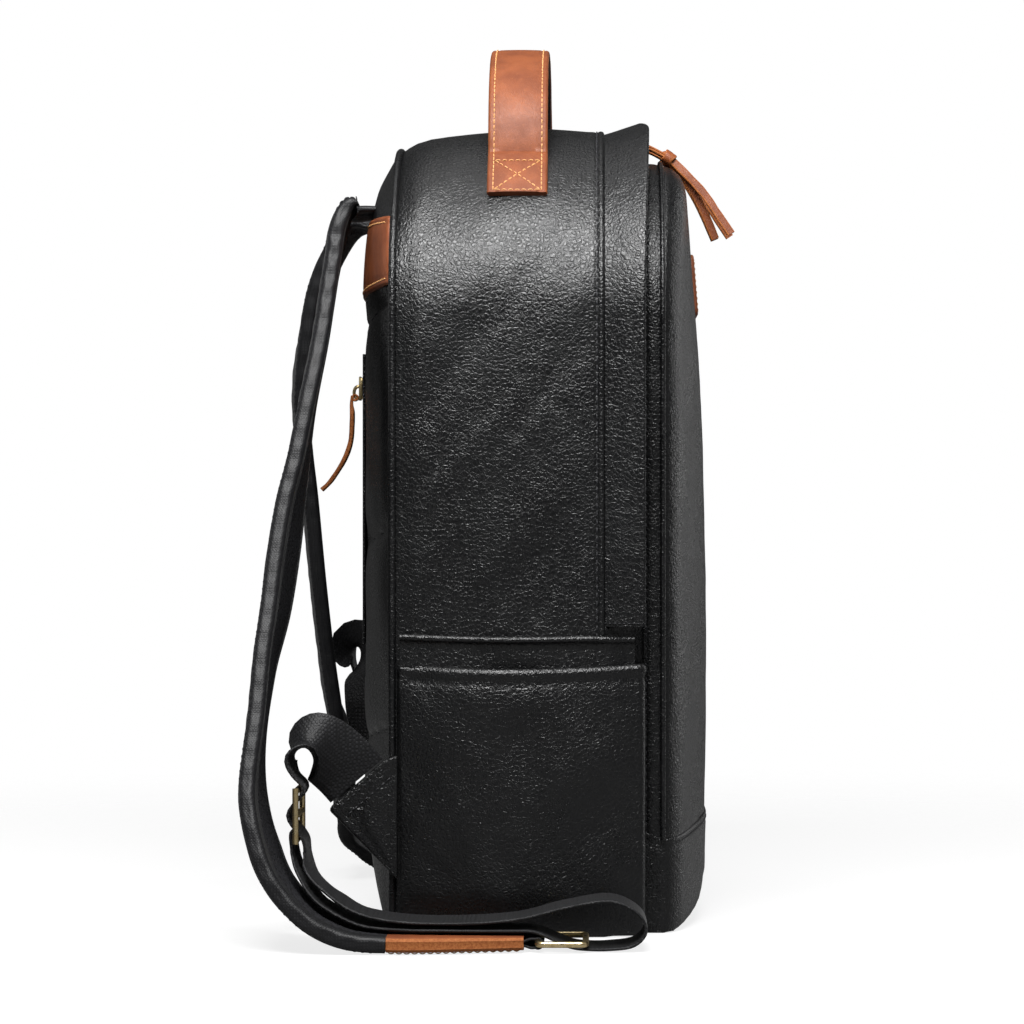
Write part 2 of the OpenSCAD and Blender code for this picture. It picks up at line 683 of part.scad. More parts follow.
main_gusset();
base_panel();
base_board();
corner_gussets();
zip_hood();
rear_zip_tape();
back_panel();
back_foam();
back_yoke();
back_piping();
front_gusset_lower();
front_panel_lower();
front_bumper();
front_piping_lower();
front_gusset_upper();
front_panel_upper();
front_piping_upper();
front_zip_tape();
organiser_pocket();
front_patch();
zip_slider(slider_left_x);  // zip_slider_left
zip_pull(slider_left_x, 4);  // zip_pull_left
zip_slider(slider_right_x);  // zip_slider_right
zip_pull(slider_right_x, -4);  // zip_pull_right
back_zip_tape();
back_zip_slider();
back_zip_pull();
handle_leather();
handle_lining();
pocket();  // pocket_left
pocket_back();  // pocket_back_left
mirror([1, 0, 0]) pocket();  // pocket_right
mirror([1, 0, 0]) pocket_back();  // pocket_back_right
laptop_sleeve();
laptop_foam();
color(black) ribbon(pad_rows_left, 0.3, 0.5);  // strap_cover_left
color(foam) ribbon(pad_rows_left, -0.32, 0.3);  // strap_foam_left
color(lining) ribbon(pad_rows_left, -0.5, -0.32);  // strap_mesh_left
strap_tip(tip_rows_left);  // strap_tip_left
ring_keeper(left_ring);  // ring_keeper_left
strap_ring(left_ring);  // strap_ring_left
webbing(web_rows_left);  // webbing_left
strap_slide(left_slide);  // strap_slide_left
anchor_tab();  // anchor_tab_left
color(black) ribbon(pad_rows_right, 0.3, 0.5);  // strap_cover_right
color(foam) ribbon(pad_rows_right, -0.32, 0.3);  // strap_foam_right
color(lining) ribbon(pad_rows_right, -0.5, -0.32);  // strap_mesh_right
strap_tip(tip_rows_right);  // strap_tip_right
ring_keeper(right_ring);  // ring_keeper_right
strap_ring(right_ring);  // strap_ring_right
webbing(web_rows_right);  // webbing_right
strap_slide(right_slide);  // strap_slide_right
mirror([1, 0, 0]) anchor_tab();  // anchor_tab_right
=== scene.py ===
"""Looks of the leather backpack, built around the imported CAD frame."""

import json
import math

import bmesh
import bpy
import numpy as np
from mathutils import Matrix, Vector, noise


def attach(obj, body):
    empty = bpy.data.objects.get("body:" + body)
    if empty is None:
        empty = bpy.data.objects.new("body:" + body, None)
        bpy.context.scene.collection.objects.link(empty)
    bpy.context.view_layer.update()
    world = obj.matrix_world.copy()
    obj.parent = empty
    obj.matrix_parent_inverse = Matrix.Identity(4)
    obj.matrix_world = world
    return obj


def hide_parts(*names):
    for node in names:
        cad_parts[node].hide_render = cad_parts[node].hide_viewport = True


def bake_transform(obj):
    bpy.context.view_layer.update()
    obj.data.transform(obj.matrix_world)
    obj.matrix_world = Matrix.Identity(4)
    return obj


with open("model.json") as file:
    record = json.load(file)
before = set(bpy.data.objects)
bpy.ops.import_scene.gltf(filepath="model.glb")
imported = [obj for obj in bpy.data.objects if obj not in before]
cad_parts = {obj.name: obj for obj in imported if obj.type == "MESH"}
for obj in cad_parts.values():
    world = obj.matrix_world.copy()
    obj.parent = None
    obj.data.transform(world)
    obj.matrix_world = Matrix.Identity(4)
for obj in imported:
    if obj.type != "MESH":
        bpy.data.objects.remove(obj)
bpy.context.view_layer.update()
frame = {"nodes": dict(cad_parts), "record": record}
NODES = frame["nodes"]
MM = 0.001

# Sizes of the body in millimetres, as the CAD has them.
CORNER_X = 45.0
CORNER_Z = 322.0
BODY_R = 105.0
FRONT_R = 85.0
REAR_Y = 72.0
SEAM_Y = -35.0
FRONT_SEAM_Y = -66.0
FRONT_Y = -92.0
FOLD_Z = 160.0
BACK_Y = 97.0
BACK_R = (147.0**2 + 25.0**2) / 50.0


# ---- Small maths ----
def smoothstep(t):
    """An even rise from 0 to 1, flat at both ends."""
    t = np.clip(t, 0.0, 1.0)
    return t * t * (3 - 2 * t)


def wave(x, y, z, scale, seed=0.0):
    """Smooth noise from about -1 to 1; scale is the size of its features in millimetres."""
    return noise.noise(Vector((x / scale + seed, y / scale - seed, z / scale + 2 * seed)))


def unit(v):
    """The vector at length 1."""
    v = np.asarray(v, float)
    return v / max(np.linalg.norm(v), 1e-9)


def spline(rows, per):
    """Catmull-Rom through the rows, with per steps between neighbours."""
    rows = np.asarray(rows, float)
    out = []
    last = len(rows) - 1
    for i in range(last):
        a, b = rows[max(i - 1, 0)], rows[i]
        c, d = rows[i + 1], rows[min(i + 2, last)]
        for k in range(per):
            t = k / per
            out.append(0.5 * (2 * b + (c - a) * t + (2 * a - 5 * b + 4 * c - d) * t * t
                              + (3 * b - a - 3 * c + d) * t**3))
    out.append(rows[last])
    return np.array(out)


def even_steps(path, step):
    """The same path with points an equal distance apart, and the distance of each from its start."""
    path = np.asarray(path, float)
    legs = np.linalg.norm(np.diff(path[:, :3], axis=0), axis=1)
    run = np.concatenate([[0], np.cumsum(legs)])
    n = max(2, int(round(run[-1] / step)) + 1)
    at = np.linspace(0, run[-1], n)
    return np.stack([np.interp(at, run, path[:, k]) for k in range(path.shape[1])], 1), at


# ---- Meshes ----
def add_mesh(name, verts, faces, material, sharp=50):
    """A mesh object from millimetre points, with its faces turned outwards."""
    mesh = bpy.data.meshes.new(name)
    mesh.from_pydata([tuple(v) for v in np.asarray(verts, float) * MM], [], [tuple(f) for f in faces])
    bm = bmesh.new()
    bm.from_mesh(mesh)
    bmesh.ops.remove_doubles(bm, verts=bm.verts, dist=2e-6)
    bmesh.ops.recalc_face_normals(bm, faces=bm.faces)
    bm.to_mesh(mesh)
    bm.free()
    mesh.shade_smooth()
    mesh.set_sharp_from_angle(angle=math.radians(sharp))
    mesh.materials.append(material)
    obj = bpy.data.objects.new(name, mesh)
    bpy.context.scene.collection.objects.link(obj)
    return obj


def loft(name, rings, material, sharp=50):
    """A solid through closed section rings that all have the same number of points."""
    rings = np.asarray(rings, float)
    n, m = rings.shape[:2]
    faces = rod_faces(0, n - 1, m)
    faces.append(tuple(range(m - 1, -1, -1)))
    faces.append(tuple(range((n - 1) * m, n * m)))
    return add_mesh(name, rings.reshape(-1, 3), faces, material, sharp=sharp)


def grid_faces(rows, columns, start=0):
    """The faces of a plain grid of points, counted row by row from start."""
    corners = [start + i * columns + j for i in range(rows - 1) for j in range(columns - 1)]
    return [(a, a + 1, a + columns + 1, a + columns) for a in corners]


def rod_faces(start, steps, sides):
    """The side faces of a closed strand: steps + 1 rings of points, sides in each, counted from start."""
    faces = []
    for k in range(steps):
        for j in range(sides):
            p, q = start + k * sides + j, start + k * sides + (j + 1) % sides
            faces.append((p, q, q + sides, p + sides))
    return faces


def sheet_piece(name, verts, faces, material, facing, thickness):
    """An open surface turned to face one way, and given a thickness on its inner side."""
    obj = add_mesh(name, verts, faces, material)
    total = sum((p.normal * p.area for p in obj.data.polygons), Vector())
    if facing and total.dot(Vector(facing)) < 0:
        obj.data.flip_normals()
    mod = obj.modifiers.new("thickness", "SOLIDIFY")
    mod.thickness = thickness * MM
    mod.offset = -1
    mod.use_even_offset = True
    mod.use_rim = True
    graph = bpy.context.evaluated_depsgraph_get()
    mesh = bpy.data.meshes.new_from_object(obj.evaluated_get(graph))
    obj.modifiers.clear()
    obj.data = mesh
    return obj


def band(curve, thickness, side=1):
    """A closed section: the curve is its outer face, the inner face is offset to one side, ends are round."""
    curve = np.asarray(curve, float)
    tangent = np.gradient(curve, axis=0)
    tangent /= np.linalg.norm(tangent, axis=1)[:, None]
    normal = np.stack([-tangent[:, 1], tangent[:, 0]], 1) * side
    inner = curve + normal * thickness
    points = list(curve)
    for end, sign in ((-1, 1), (0, -1)):
        centre = (curve[end] + inner[end]) / 2
        a = curve[end] - centre
        b = tangent[end] * sign * thickness / 2
        turn = [centre + a * math.cos(math.pi * k / 5) + b * math.sin(math.pi * k / 5) for k in range(1, 5)]
        if end == -1:
            points += turn + list(inner[::-1])
        else:
            points += turn[::-1]
    return np.array(points)


def join(name, pieces):
    """One object from several, with their materials."""
    bpy.ops.object.select_all(action="DESELECT")
    for piece in pieces:
        piece.select_set(True)
    bpy.context.view_layer.objects.active = pieces[0]
    bpy.ops.object.join()
    pieces[0].name = name
    pieces[0].data.name = name
    return pieces[0]


def place(obj, body, slot, *nodes):
    """Puts a piece on its body and hides the CAD nodes it stands for. The slot is not used."""
    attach(obj, body)
    if nodes:
        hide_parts(*nodes)
    return obj


# ---- Materials ----
class Shader:
    """A material's node tree around one Principled shader."""

    def __init__(self, name, roughness, metallic=0.0, specular=0.5, **sockets):
        self.material = bpy.data.materials.new(name)
        self.material.use_nodes = True
        self.tree = self.material.node_tree
        self.out = self.tree.nodes["Principled BSDF"]
        self.out.inputs["Roughness"].default_value = roughness
        self.out.inputs["Metallic"].default_value = metallic
        self.out.inputs["Specular IOR Level"].default_value = specular
        for key, value in sockets.items():
            self.out.inputs[key.replace("_", " ")].default_value = value
        self.coords = self.node("ShaderNodeTexCoord").outputs["Object"]

    def node(self, kind, inputs=None, **settings):
        node = self.tree.nodes.new(kind)
        for key, value in settings.items():
            setattr(node, key, value)
        for key, value in (inputs or {}).items():
            if isinstance(value, bpy.types.NodeSocket):
                self.tree.links.new(value, node.inputs[key])
            else:
                node.inputs[key].default_value = value
        return node

    def math(self, op, a, b=0.0, c=0.0):
        return self.node("ShaderNodeMath", {0: a, 1: b, 2: c}, operation=op).outputs[0]

    def mix(self, factor, a, b):
        """Mixes two colours."""
        node = self.node("ShaderNodeMix", {"Factor": factor}, data_type="RGBA")
        for key, value in ((6, a), (7, b)):
            if isinstance(value, bpy.types.NodeSocket):
                self.tree.links.new(value, node.inputs[key])
            else:
                node.inputs[key].default_value = (*value, 1.0)
        return node.outputs[2]

    def span(self, value, low, high, to_low=0.0, to_high=1.0):
        """Maps a value from one range to another, smoothly and clamped."""
        return self.node("ShaderNodeMapRange", {0: value, 1: low, 2: high, 3: to_low, 4: to_high},
                         interpolation_type="SMOOTHSTEP", clamp=True).outputs[0]

    def noise(self, scale, detail=2.0, vector=None, roughness=0.5, distortion=0.0):
        return self.node("ShaderNodeTexNoise", {
            "Vector": vector or self.coords, "Scale": scale, "Detail": detail,
            "Roughness": roughness, "Distortion": distortion}).outputs["Fac"]

    def warped(self, scale, amount):
        """The coordinates shaken by noise."""
        tex = self.node("ShaderNodeTexNoise", {"Vector": self.coords, "Scale": scale, "Detail": 2.0})
        less = self.node("ShaderNodeVectorMath", {0: tex.outputs["Color"], 1: (0.5, 0.5, 0.5)},
                         operation="SUBTRACT").outputs[0]
        more = self.node("ShaderNodeVectorMath", {0: less, "Scale": amount}, operation="SCALE").outputs[0]
        return self.node("ShaderNodeVectorMath", {0: self.coords, 1: more}, operation="ADD").outputs[0]

    def cells(self, scale, vector=None, feature="DISTANCE_TO_EDGE"):
        return self.node("ShaderNodeTexVoronoi", {"Vector": vector or self.coords, "Scale": scale},
                         feature=feature).outputs["Distance"]

    def colour(self, value):
        if isinstance(value, bpy.types.NodeSocket):
            self.tree.links.new(value, self.out.inputs["Base Color"])
        else:
            self.out.inputs["Base Color"].default_value = (*value, 1.0)

    def rough(self, value):
        self.tree.links.new(value, self.out.inputs["Roughness"])

    def bump(self, height, distance, strength):
        bump = self.node("ShaderNodeBump", {"Height": height, "Distance": distance, "Strength": strength})
        self.tree.links.new(bump.outputs[0], self.out.inputs["Normal"])


def black_leather():
    """Pebbled black leather: creased cells about 2 mm across with painted shade darkening their creases,
    longer folds and a soft uneven sheen.
    """
    s = Shader("black_leather", 0.38, specular=0.5)
    warp = s.warped(110.0, 0.0028)
    fine = s.warped(420.0, 0.0009)
    edge = s.span(s.cells(430.0, warp), 0.0, 0.26)
    small = s.span(s.cells(980.0, fine), 0.0, 0.30)
    folds = s.noise(75.0, 4.0, warp, 0.62, 0.6)
    broad = s.noise(14.0, 3.0)
    height = s.math("MULTIPLY_ADD", edge, 0.62, s.math("MULTIPLY", folds, 2.6))
    height = s.math("MULTIPLY_ADD", small, 0.28, height)
    s.bump(height, 0.00024, 0.8)
    # Painted shade: the colour darkens towards the cells' edges, where the creases lie.
    crease_painted_shade = s.mix(edge, (0.0010, 0.0010, 0.0012), (0.0036, 0.0037, 0.0042))
    s.colour(s.mix(s.span(broad, 0.35, 0.7), crease_painted_shade, (0.0030, 0.0031, 0.0035)))
    patchy = s.span(s.noise(30.0, 3.0), 0.3, 0.7, -0.02, 0.03)
    s.rough(s.math("ADD", s.span(edge, 0.0, 1.0, 0.38, 0.27), patchy))
    return s.material


def tan_leather():
    """Smooth oiled tan leather with faint pores, marks of handling, and painted shade darkening the pores."""
    s = Shader("tan_leather", 0.5, specular=0.42)
    pores = s.span(s.cells(1500.0, s.warped(500.0, 0.0006)), 0.0, 0.22)
    cloud = s.noise(55.0, 5.0, roughness=0.6)
    marks = s.noise(420.0, 3.0, s.warped(60.0, 0.004))
    tone = s.mix(s.span(cloud, 0.3, 0.72), (0.180, 0.043, 0.0115), (0.295, 0.080, 0.023))
    tone = s.mix(s.span(marks, 0.58, 0.75, 0.0, 0.45), tone, (0.34, 0.110, 0.036))
    # Painted shade: the colour darkens in the pores.
    s.colour(s.mix(s.span(pores, 0.0, 1.0, 0.35, 0.0), tone, (0.11, 0.030, 0.011)))
    s.rough(s.span(cloud, 0.3, 0.7, 0.56, 0.42))
    s.bump(s.math("MULTIPLY_ADD", pores, 0.5, s.math("MULTIPLY", marks, 0.6)), 0.00012, 0.7)
    return s.material


def raw_edge():
    """The cut, dyed edge of the tan leather: fibrous, brighter and rougher than its face."""
    s = Shader("tan_edge", 0.72, specular=0.3)
    fibre = s.noise(900.0, 4.0, roughness=0.7)
    s.colour(s.mix(s.span(fibre, 0.3, 0.7), (0.25, 0.068, 0.016), (0.42, 0.145, 0.040)))
    s.bump(fibre, 0.0002, 0.8)
    s.rough(s.span(fibre, 0.2, 0.8, 0.8, 0.62))
    return s.material


def brass():
    """Antique brass: pale gold, darkened in blotches, with fine rubbed marks."""
    s = Shader("brass", 0.28, metallic=1.0)
    blot = s.noise(260.0, 5.0, roughness=0.65)
    marks = s.noise(2600.0, 2.0)
    s.colour(s.mix(s.span(blot, 0.38, 0.68), (0.84, 0.68, 0.38), (0.60, 0.45, 0.22)))
    s.rough(s.math("MULTIPLY_ADD", marks, 0.16, s.span(blot, 0.3, 0.7, 0.17, 0.33)))
    s.bump(marks, 0.00003, 0.6)
    return s.material


def woven(name, dark, light, pitch, depth, roughness, sheen=0.0):
    """A plain weave of crossing threads, pitch threads to the metre, with painted shade darkening the hollows
    between threads.
    """
    s = Shader(name, roughness, specular=0.35, Sheen_Weight=sheen, Sheen_Roughness=0.4)
    parts = s.node("ShaderNodeSeparateXYZ", {0: s.coords})
    over = [s.math("SINE", s.math("MULTIPLY", axis, pitch * math.pi)) for axis in parts.outputs]
    cross = s.math("MULTIPLY", over[0], over[1])
    cross = s.math("ADD", cross, s.math("MULTIPLY", over[1], over[2]))
    cross = s.math("ADD", cross, s.math("MULTIPLY", over[0], over[2]))
    height = s.span(cross, -1.4, 1.4)
    fuzz = s.noise(2400.0, 2.0)
    s.bump(s.math("MULTIPLY_ADD", fuzz, 0.4, height), depth, 0.8)
    # Painted shade: the colour runs from light on the raised threads to dark in the hollows.
    s.colour(s.mix(height, dark, light))
    s.rough(s.math("MULTIPLY_ADD", fuzz, 0.2, roughness - 0.1))
    return s.material


def spacer_mesh():
    """Three-dimensional mesh: a net of round holes over padding, the holes painted nearly black as shade."""
    s = Shader("strap_mesh", 0.7, specular=0.3)
    holes = s.span(s.cells(520.0, feature="F1"), 0.25, 0.5)
    # Painted shade: the holes are coloured far darker than the net around them.
    s.colour(s.mix(holes, (0.003, 0.003, 0.0035), (0.020, 0.020, 0.023)))
    s.bump(holes, 0.0007, 1.0)
    s.rough(s.span(holes, 0.0, 1.0, 0.9, 0.62))
    return s.material


def thread(name, dark, light):
    """Twisted sewing thread."""
    s = Shader(name, 0.55, specular=0.35)
    twist = s.noise(3000.0, 2.0, distortion=1.5)
    s.colour(s.mix(s.span(twist, 0.35, 0.65), dark, light))
    s.bump(twist, 0.0001, 0.7)
    s.rough(s.span(twist, 0.2, 0.8, 0.68, 0.48))
    return s.material


def foam_skin():
    """Cut grey foam with small open bubbles, painted darker inside as shade."""
    s = Shader("foam", 0.9, specular=0.2)
    bubbles = s.cells(1300.0, feature="F1")
    # Painted shade: the colour darkens towards each bubble's middle.
    s.colour(s.mix(s.span(bubbles, 0.1, 0.6), (0.045, 0.045, 0.048), (0.085, 0.085, 0.09)))
    s.bump(bubbles, 0.0003, 0.8)
    s.rough(s.span(bubbles, 0.0, 1.0, 0.96, 0.84))
    return s.material


BLACK = black_leather()
TAN = tan_leather()
TAN_EDGE = raw_edge()
BRASS = brass()
LINING = woven("lining", (0.010, 0.010, 0.012), (0.030, 0.030, 0.034), 900.0, 0.00012, 0.8)
WEBBING = woven("webbing", (0.0030, 0.0030, 0.0034), (0.0115, 0.0115, 0.013), 900.0, 0.00018, 0.55, 0.05)
CLOTH = woven("strap_cloth", (0.003, 0.003, 0.0035), (0.010, 0.010, 0.0115), 1300.0, 0.00008, 0.5, 0.05)
ZIP_TAPE = woven("zip_tape", (0.006, 0.006, 0.006), (0.020, 0.020, 0.021), 1000.0, 0.00012, 0.72)
MESH = spacer_mesh()
FOAM = foam_skin()
BLACK_THREAD = thread("black_thread", (0.004, 0.004, 0.0045), (0.030, 0.030, 0.034))
TAN_THREAD = thread("tan_thread", (0.50, 0.22, 0.075), (0.80, 0.46, 0.19))

SLOT_MATERIALS = {
    "black_leather": BLACK, "tan_leather": TAN, "brass": BRASS, "lining": LINING, "foam": FOAM,
    "webbing": WEBBING, "strap_cloth": CLOTH, "strap_mesh": MESH, "zip_tape": ZIP_TAPE,
}
for part in frame["record"]["subparts"]:
    node_mesh = NODES[part["node"]].data
    node_mesh.materials.clear()
    node_mesh.materials.append(SLOT_MATERIALS[part["material_slot"]])


# ---- The body's outline ----
CORNER_STEPS = 52
TOP_STEP = 3.0


def arch(low, step=3.0):
    """Places up the left side, over the top and down the right side: spine x and z, outward x and z, angle.

    low is the height where the sides start, or a list of the heights of all the places on a side.
    """
    places = []
    if isinstance(low, list):
        levels = low
    else:
        n = max(1, math.ceil((CORNER_Z - low) / step))
        levels = [low + (CORNER_Z - low) * i / n for i in range(n)]
    for z in levels:
        places.append((-CORNER_X, z, -1.0, 0.0, 0.0))
    for i in range(CORNER_STEPS):
        a = math.pi / 2 * i / CORNER_STEPS
        places.append((-CORNER_X, CORNER_Z, -math.cos(a), math.sin(a), a))
    m = math.ceil(2 * CORNER_X / TOP_STEP)
    half = len(places)
    for i in range(m + 1):
        places.append((-CORNER_X + 2 * CORNER_X * i / m, CORNER_Z, 0.0, 1.0, math.pi / 2))
    for x, z, dx, dz, a in places[:half][::-1]:
        places.append((-x, z, -dx, dz, a))
    return places


def on_arch(at, r, y):
    """The point at radius r and depth y from a place on the outline."""
    return (at[0] + at[2] * r, y, at[1] + at[3] * r)


TOP_PROFILE = np.array([
    (-35, 2.0), (-26, 1.6), (-17, 0.7), (-8, 0.1), (10, 0.9), (29, 2.5), (40, 3.6), (49, 4.4), (58, 5.7),
    (65, 7.8), (70, 10.6), (74, 13.8)])


def gusset_drop(angle, y):
    """How far the soft gusset lies below its full radius: its top is domed and its rear edge rolls over."""
    top = math.sin(angle) ** 1.6
    roll = 2.2 * float(smoothstep((y - 60.0) / 14.0))
    return top * float(np.interp(y, TOP_PROFILE[:, 0], TOP_PROFILE[:, 1])) + (1 - top) * roll


def side_dents(x, y, z, angle):
    """Soft hollows and long slanting folds in the gusset leather."""
    u = y + 0.75 * z
    v = z - 0.75 * y
    side = 1.0 if x < 0 else 2.0
    free = 1.0 - 0.5 * math.sin(angle)
    broad = 1.45 * wave(side * 40, u, v * 0.35, 46.0, 1.7)
    folds = 0.62 * wave(side * 20, u, v * 0.22, 15.0, 4.1)
    creases = 0.14 * wave(side * 10, u * 1.1, v * 0.5, 6.0, 8.3)
    edge = smoothstep((y - SEAM_Y) / 14.0) * smoothstep((REAR_Y + 2 - y) / 14.0)
    return free * float(edge) * (broad + folds + creases)


def gusset_surface(at, y):
    """Radius of the gusset's leather at a place on the outline and a depth."""
    x, z = at[0] + at[2] * BODY_R, at[1] + at[3] * BODY_R
    return BODY_R - gusset_drop(at[4], y) + side_dents(x, y, z, at[4])


def arch_loft(name, places, section, material):
    """Lofts section(place), a list of radius and depth, along places on the outline."""
    return loft(name, [[on_arch(at, r, y) for r, y in section(at)] for at in places], material)


def stitches(name, points, ups, pitch, length, radius, material):
    """A row of real thread stitches, each a short humped strand.

    It runs along points, and ups has the surface's outward direction at each, or one direction for all.
    """
    ups = np.broadcast_to(np.asarray(ups, float), (len(points), 3))
    path, _ = even_steps(np.concatenate([np.asarray(points, float), ups], 1), pitch)
    verts, faces = [], []
    steps, sides = 4, 5
    for i in range(len(path) - 1):
        a = path[i]
        d = unit(path[i + 1][:3] - a[:3])
        across = unit(np.cross(d, unit(a[3:6])))
        up = unit(np.cross(across, d))
        start = len(verts)
        for k in range(steps + 1):
            t = k / steps
            hump = math.sin(math.pi * t)
            centre = a[:3] + d * (length * t + (pitch - length) / 2) + up * radius * (1.25 * hump - 0.75)
            r = radius * (0.72 + 0.28 * hump)
            for j in range(sides):
                w = 2 * math.pi * j / sides
                verts.append(centre + across * r * math.cos(w) + up * r * 0.85 * math.sin(w))
        faces += rod_faces(start, steps, sides)
        faces.append(tuple(start + j for j in range(sides))[::-1])
        faces.append(tuple(start + steps * sides + j for j in range(sides)))
    return add_mesh(name, verts, faces, material)


# ---- Gusset and hood ----
def channel(distance, width):
    """A soft bump of height 1 around distance 0."""
    return math.exp(-(distance / width) ** 2)


STITCH_Y = SEAM_Y + 3.4


def gusset():
    """The wide leather band round the bag's sides and top."""
    places = arch(3.0, 2.6)
    ys = np.concatenate([np.linspace(SEAM_Y + 0.6, SEAM_Y + 9, 13), np.linspace(SEAM_Y + 11, REAR_Y, 42)])

    def section(at):
        outer = []
        for y in ys:
            fold = 0.55 * channel(y - SEAM_Y - 1.2, 1.5) - 0.45 * channel(y - STITCH_Y, 0.9)
            outer.append((gusset_surface(at, y) + fold, y))
        return band(outer, 2.8, 1)

    return arch_loft("gusset_leather", places, section, BLACK)


def gusset_stitches():
    """The row along the gusset's front seam."""
    places = arch(6.0, 3.0)
    points = [on_arch(at, gusset_surface(at, STITCH_Y) - 0.1, STITCH_Y) for at in places]
    ups = [(at[2], 0.0, at[3]) for at in places]
    return stitches("gusset_stitches", points, ups, 4.2, 3.1, 0.42, BLACK_THREAD)


def hood_edge(at):
    """Where the hood's free edge lies: it flares further over the top and is cut back above the zip pulls."""
    top = math.sin(at[4]) ** 1.5
    notch = 4.6 * math.exp(-(((at[0] + at[2] * 107.0 + 37.0) / 27.0) ** 4))
    return 107.6 + 0.4 * top, -55.4 - 3.2 * top + notch


def hood_curve(at, t):
    """The hood's plain outer face, as radius and depth, from t 0 at its seam to 1 at its free edge."""
    edge_r, edge_y = hood_edge(at)
    root = BODY_R - gusset_drop(at[4], -34.0) - 1.7
    return root + (edge_r - root) * t**1.35 + 0.5 * math.sin(math.pi * t), -33.2 + (edge_y + 33.2) * t


def hood():
    """The flap of leather that overhangs the zip."""
    def section(at):
        outer = []
        for k in range(22):
            t = k / 21
            r, y = hood_curve(at, t)
            ripple = 0.35 * wave(at[0] + at[2] * 105, y * 0.6, at[1] + at[3] * 105, 24.0, 3.3)
            ripple += 0.12 * wave(at[0] + at[2] * 105, y, at[1] + at[3] * 105, 7.0, 5.1)
            outer.append((r + ripple * math.sin(math.pi * min(t * 1.6, 1.0)), y))
        return band(outer, 2.0, -1)

    return arch_loft("zip_hood_leather", arch(FOLD_Z, 2.6), section, BLACK)


def hood_tacks():
    """The stitched-down lower ends of the hood."""
    rows = []
    for side in (-1, 1):
        at = (side * CORNER_X, FOLD_Z + 1.6, side, 0.0, 0.0)
        curve = [hood_curve(at, t) for t in np.linspace(0.06, 0.94, 14)]
        line = [on_arch(at, r + 0.1, y) for r, y in curve]
        rows.append(stitches("tack", line, (side, 0.0, 0.0), 2.6, 2.0, 0.45, BLACK_THREAD))
    return join("hood_tack_stitches", rows)


place(gusset(), "bag", "black_leather", "main_gusset")
place(gusset_stitches(), "bag", "black_leather")
place(hood(), "bag", "black_leather", "zip_hood")
place(hood_tacks(), "bag", "black_leather")


# ---- Faces inside the outline ----
def face_mesh(name, radius, levels, insets, surface, material, facing, thickness, edge=None):
    """A sheet over the outline: rings that follow its edge inwards, and a plain grid between the spines.

    edge(place), where it is given, is the outer ring's own radius, and the other rings shrink with it.
    """
    places = arch(levels)
    verts = []
    for at in places:
        for inset in insets:
            r = edge(at) * (1 - inset / radius) if edge else radius - inset
            x, _, z = on_arch(at, r, 0.0)
            verts.append((x, surface(x, z, inset), z))
    start = len(verts)
    columns = [at[0] for at in places if at[3] == 1.0]
    rows = list(levels) + [CORNER_Z]
    verts += [(x, surface(x, z, radius), z) for z in rows for x in columns]
    faces = grid_faces(len(places), len(insets)) + grid_faces(len(rows), len(columns), start)
    return sheet_piece(name, verts, faces, material, facing, thickness)


def steps_to(start, end, step):
    """Even steps from start to end, both included, each about as long as step."""
    n = max(1, round((end - start) / step))
    return [start + (end - start) * i / n for i in range(n + 1)]


def smooth_min(a, b, k):
    """The lesser of two values with a rounded change-over."""
    h = max(k - abs(a - b), 0.0) / k
    return min(a, b) - h * h * k / 4


FOLD = ((0.0, -0.0925, 0.150), (0.0, -0.0925, 0.200))


def over_fold(obj, slot, *nodes):
    """Bakes a piece of the front in place and hides the CAD nodes it stands for; the piece runs from the bag
    over the fold to the part that opens. The slot is not used.
    """
    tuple(FOLD[0])
    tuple(FOLD[1])
    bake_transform(obj)
    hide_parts(*nodes)
    return obj


# ---- Front ----
FRONT_DEEP = 14.0
CROWN = 430.0
EDGE_INSETS = [0.0, 0.6, 1.3, 2.2, 3.3, 4.6, 6.2, 8.2, 10.8, 14.0]


def front_reach(x, z, inset):
    """How far the front leather stands before its side seam."""
    across = CROWN - math.sqrt(CROWN**2 - x * x)
    rise = (z - 140.0) ** 2 / 5200.0
    face = FRONT_SEAM_Y - FRONT_Y - (across**3 + rise**3) ** (1 / 3)
    t = 1 - min(inset / FRONT_DEEP, 1.0)
    reach = face * math.sqrt(1 - t * t)
    if z < 24.0:
        foot = 0.5 + math.sqrt(max(24.0**2 - (24.0 - z) ** 2, 0.0))
        reach = smooth_min(reach, foot, 5.0) if foot > 6 else min(reach, foot)
    return reach


def front_folds(x, z, inset):
    """Soft hollows of the front leather, and puckers that run in from its sewn edge."""
    broad = 0.75 * wave(x, 0, z * 0.8, 60.0, 2.2)
    folds = 0.28 * wave(x + 0.5 * z, 5, z * 0.6 - 0.4 * x, 19.0, 6.4)
    crease = 0.07 * wave(x, 9, z, 6.5, 1.9)
    pucker = 0.32 * wave(x, 3, z, 7.5, 9.1) * channel(inset - 4.5, 4.0)
    return (broad + folds + crease) * float(smoothstep(inset / 22.0)) + pucker


def front_y(x, z, inset):
    """Depth of the front's leather."""
    return FRONT_SEAM_Y - front_reach(x, z, inset) + front_folds(x, z, inset)


def bumper_top(x):
    """Height of the bumper's seam: higher in the middle."""
    return 56.0 - 7.0 * (x / 130.0) ** 2


def front_leather():
    """The front section's leather face."""
    insets = EDGE_INSETS + steps_to(14.0, FRONT_R, 3.4)[1:]
    levels = steps_to(40.0, CORNER_Z, 2.8)[:-1]
    return face_mesh("front_leather", FRONT_R, levels, insets, front_y, BLACK, (0, -1, 0), 2.2)


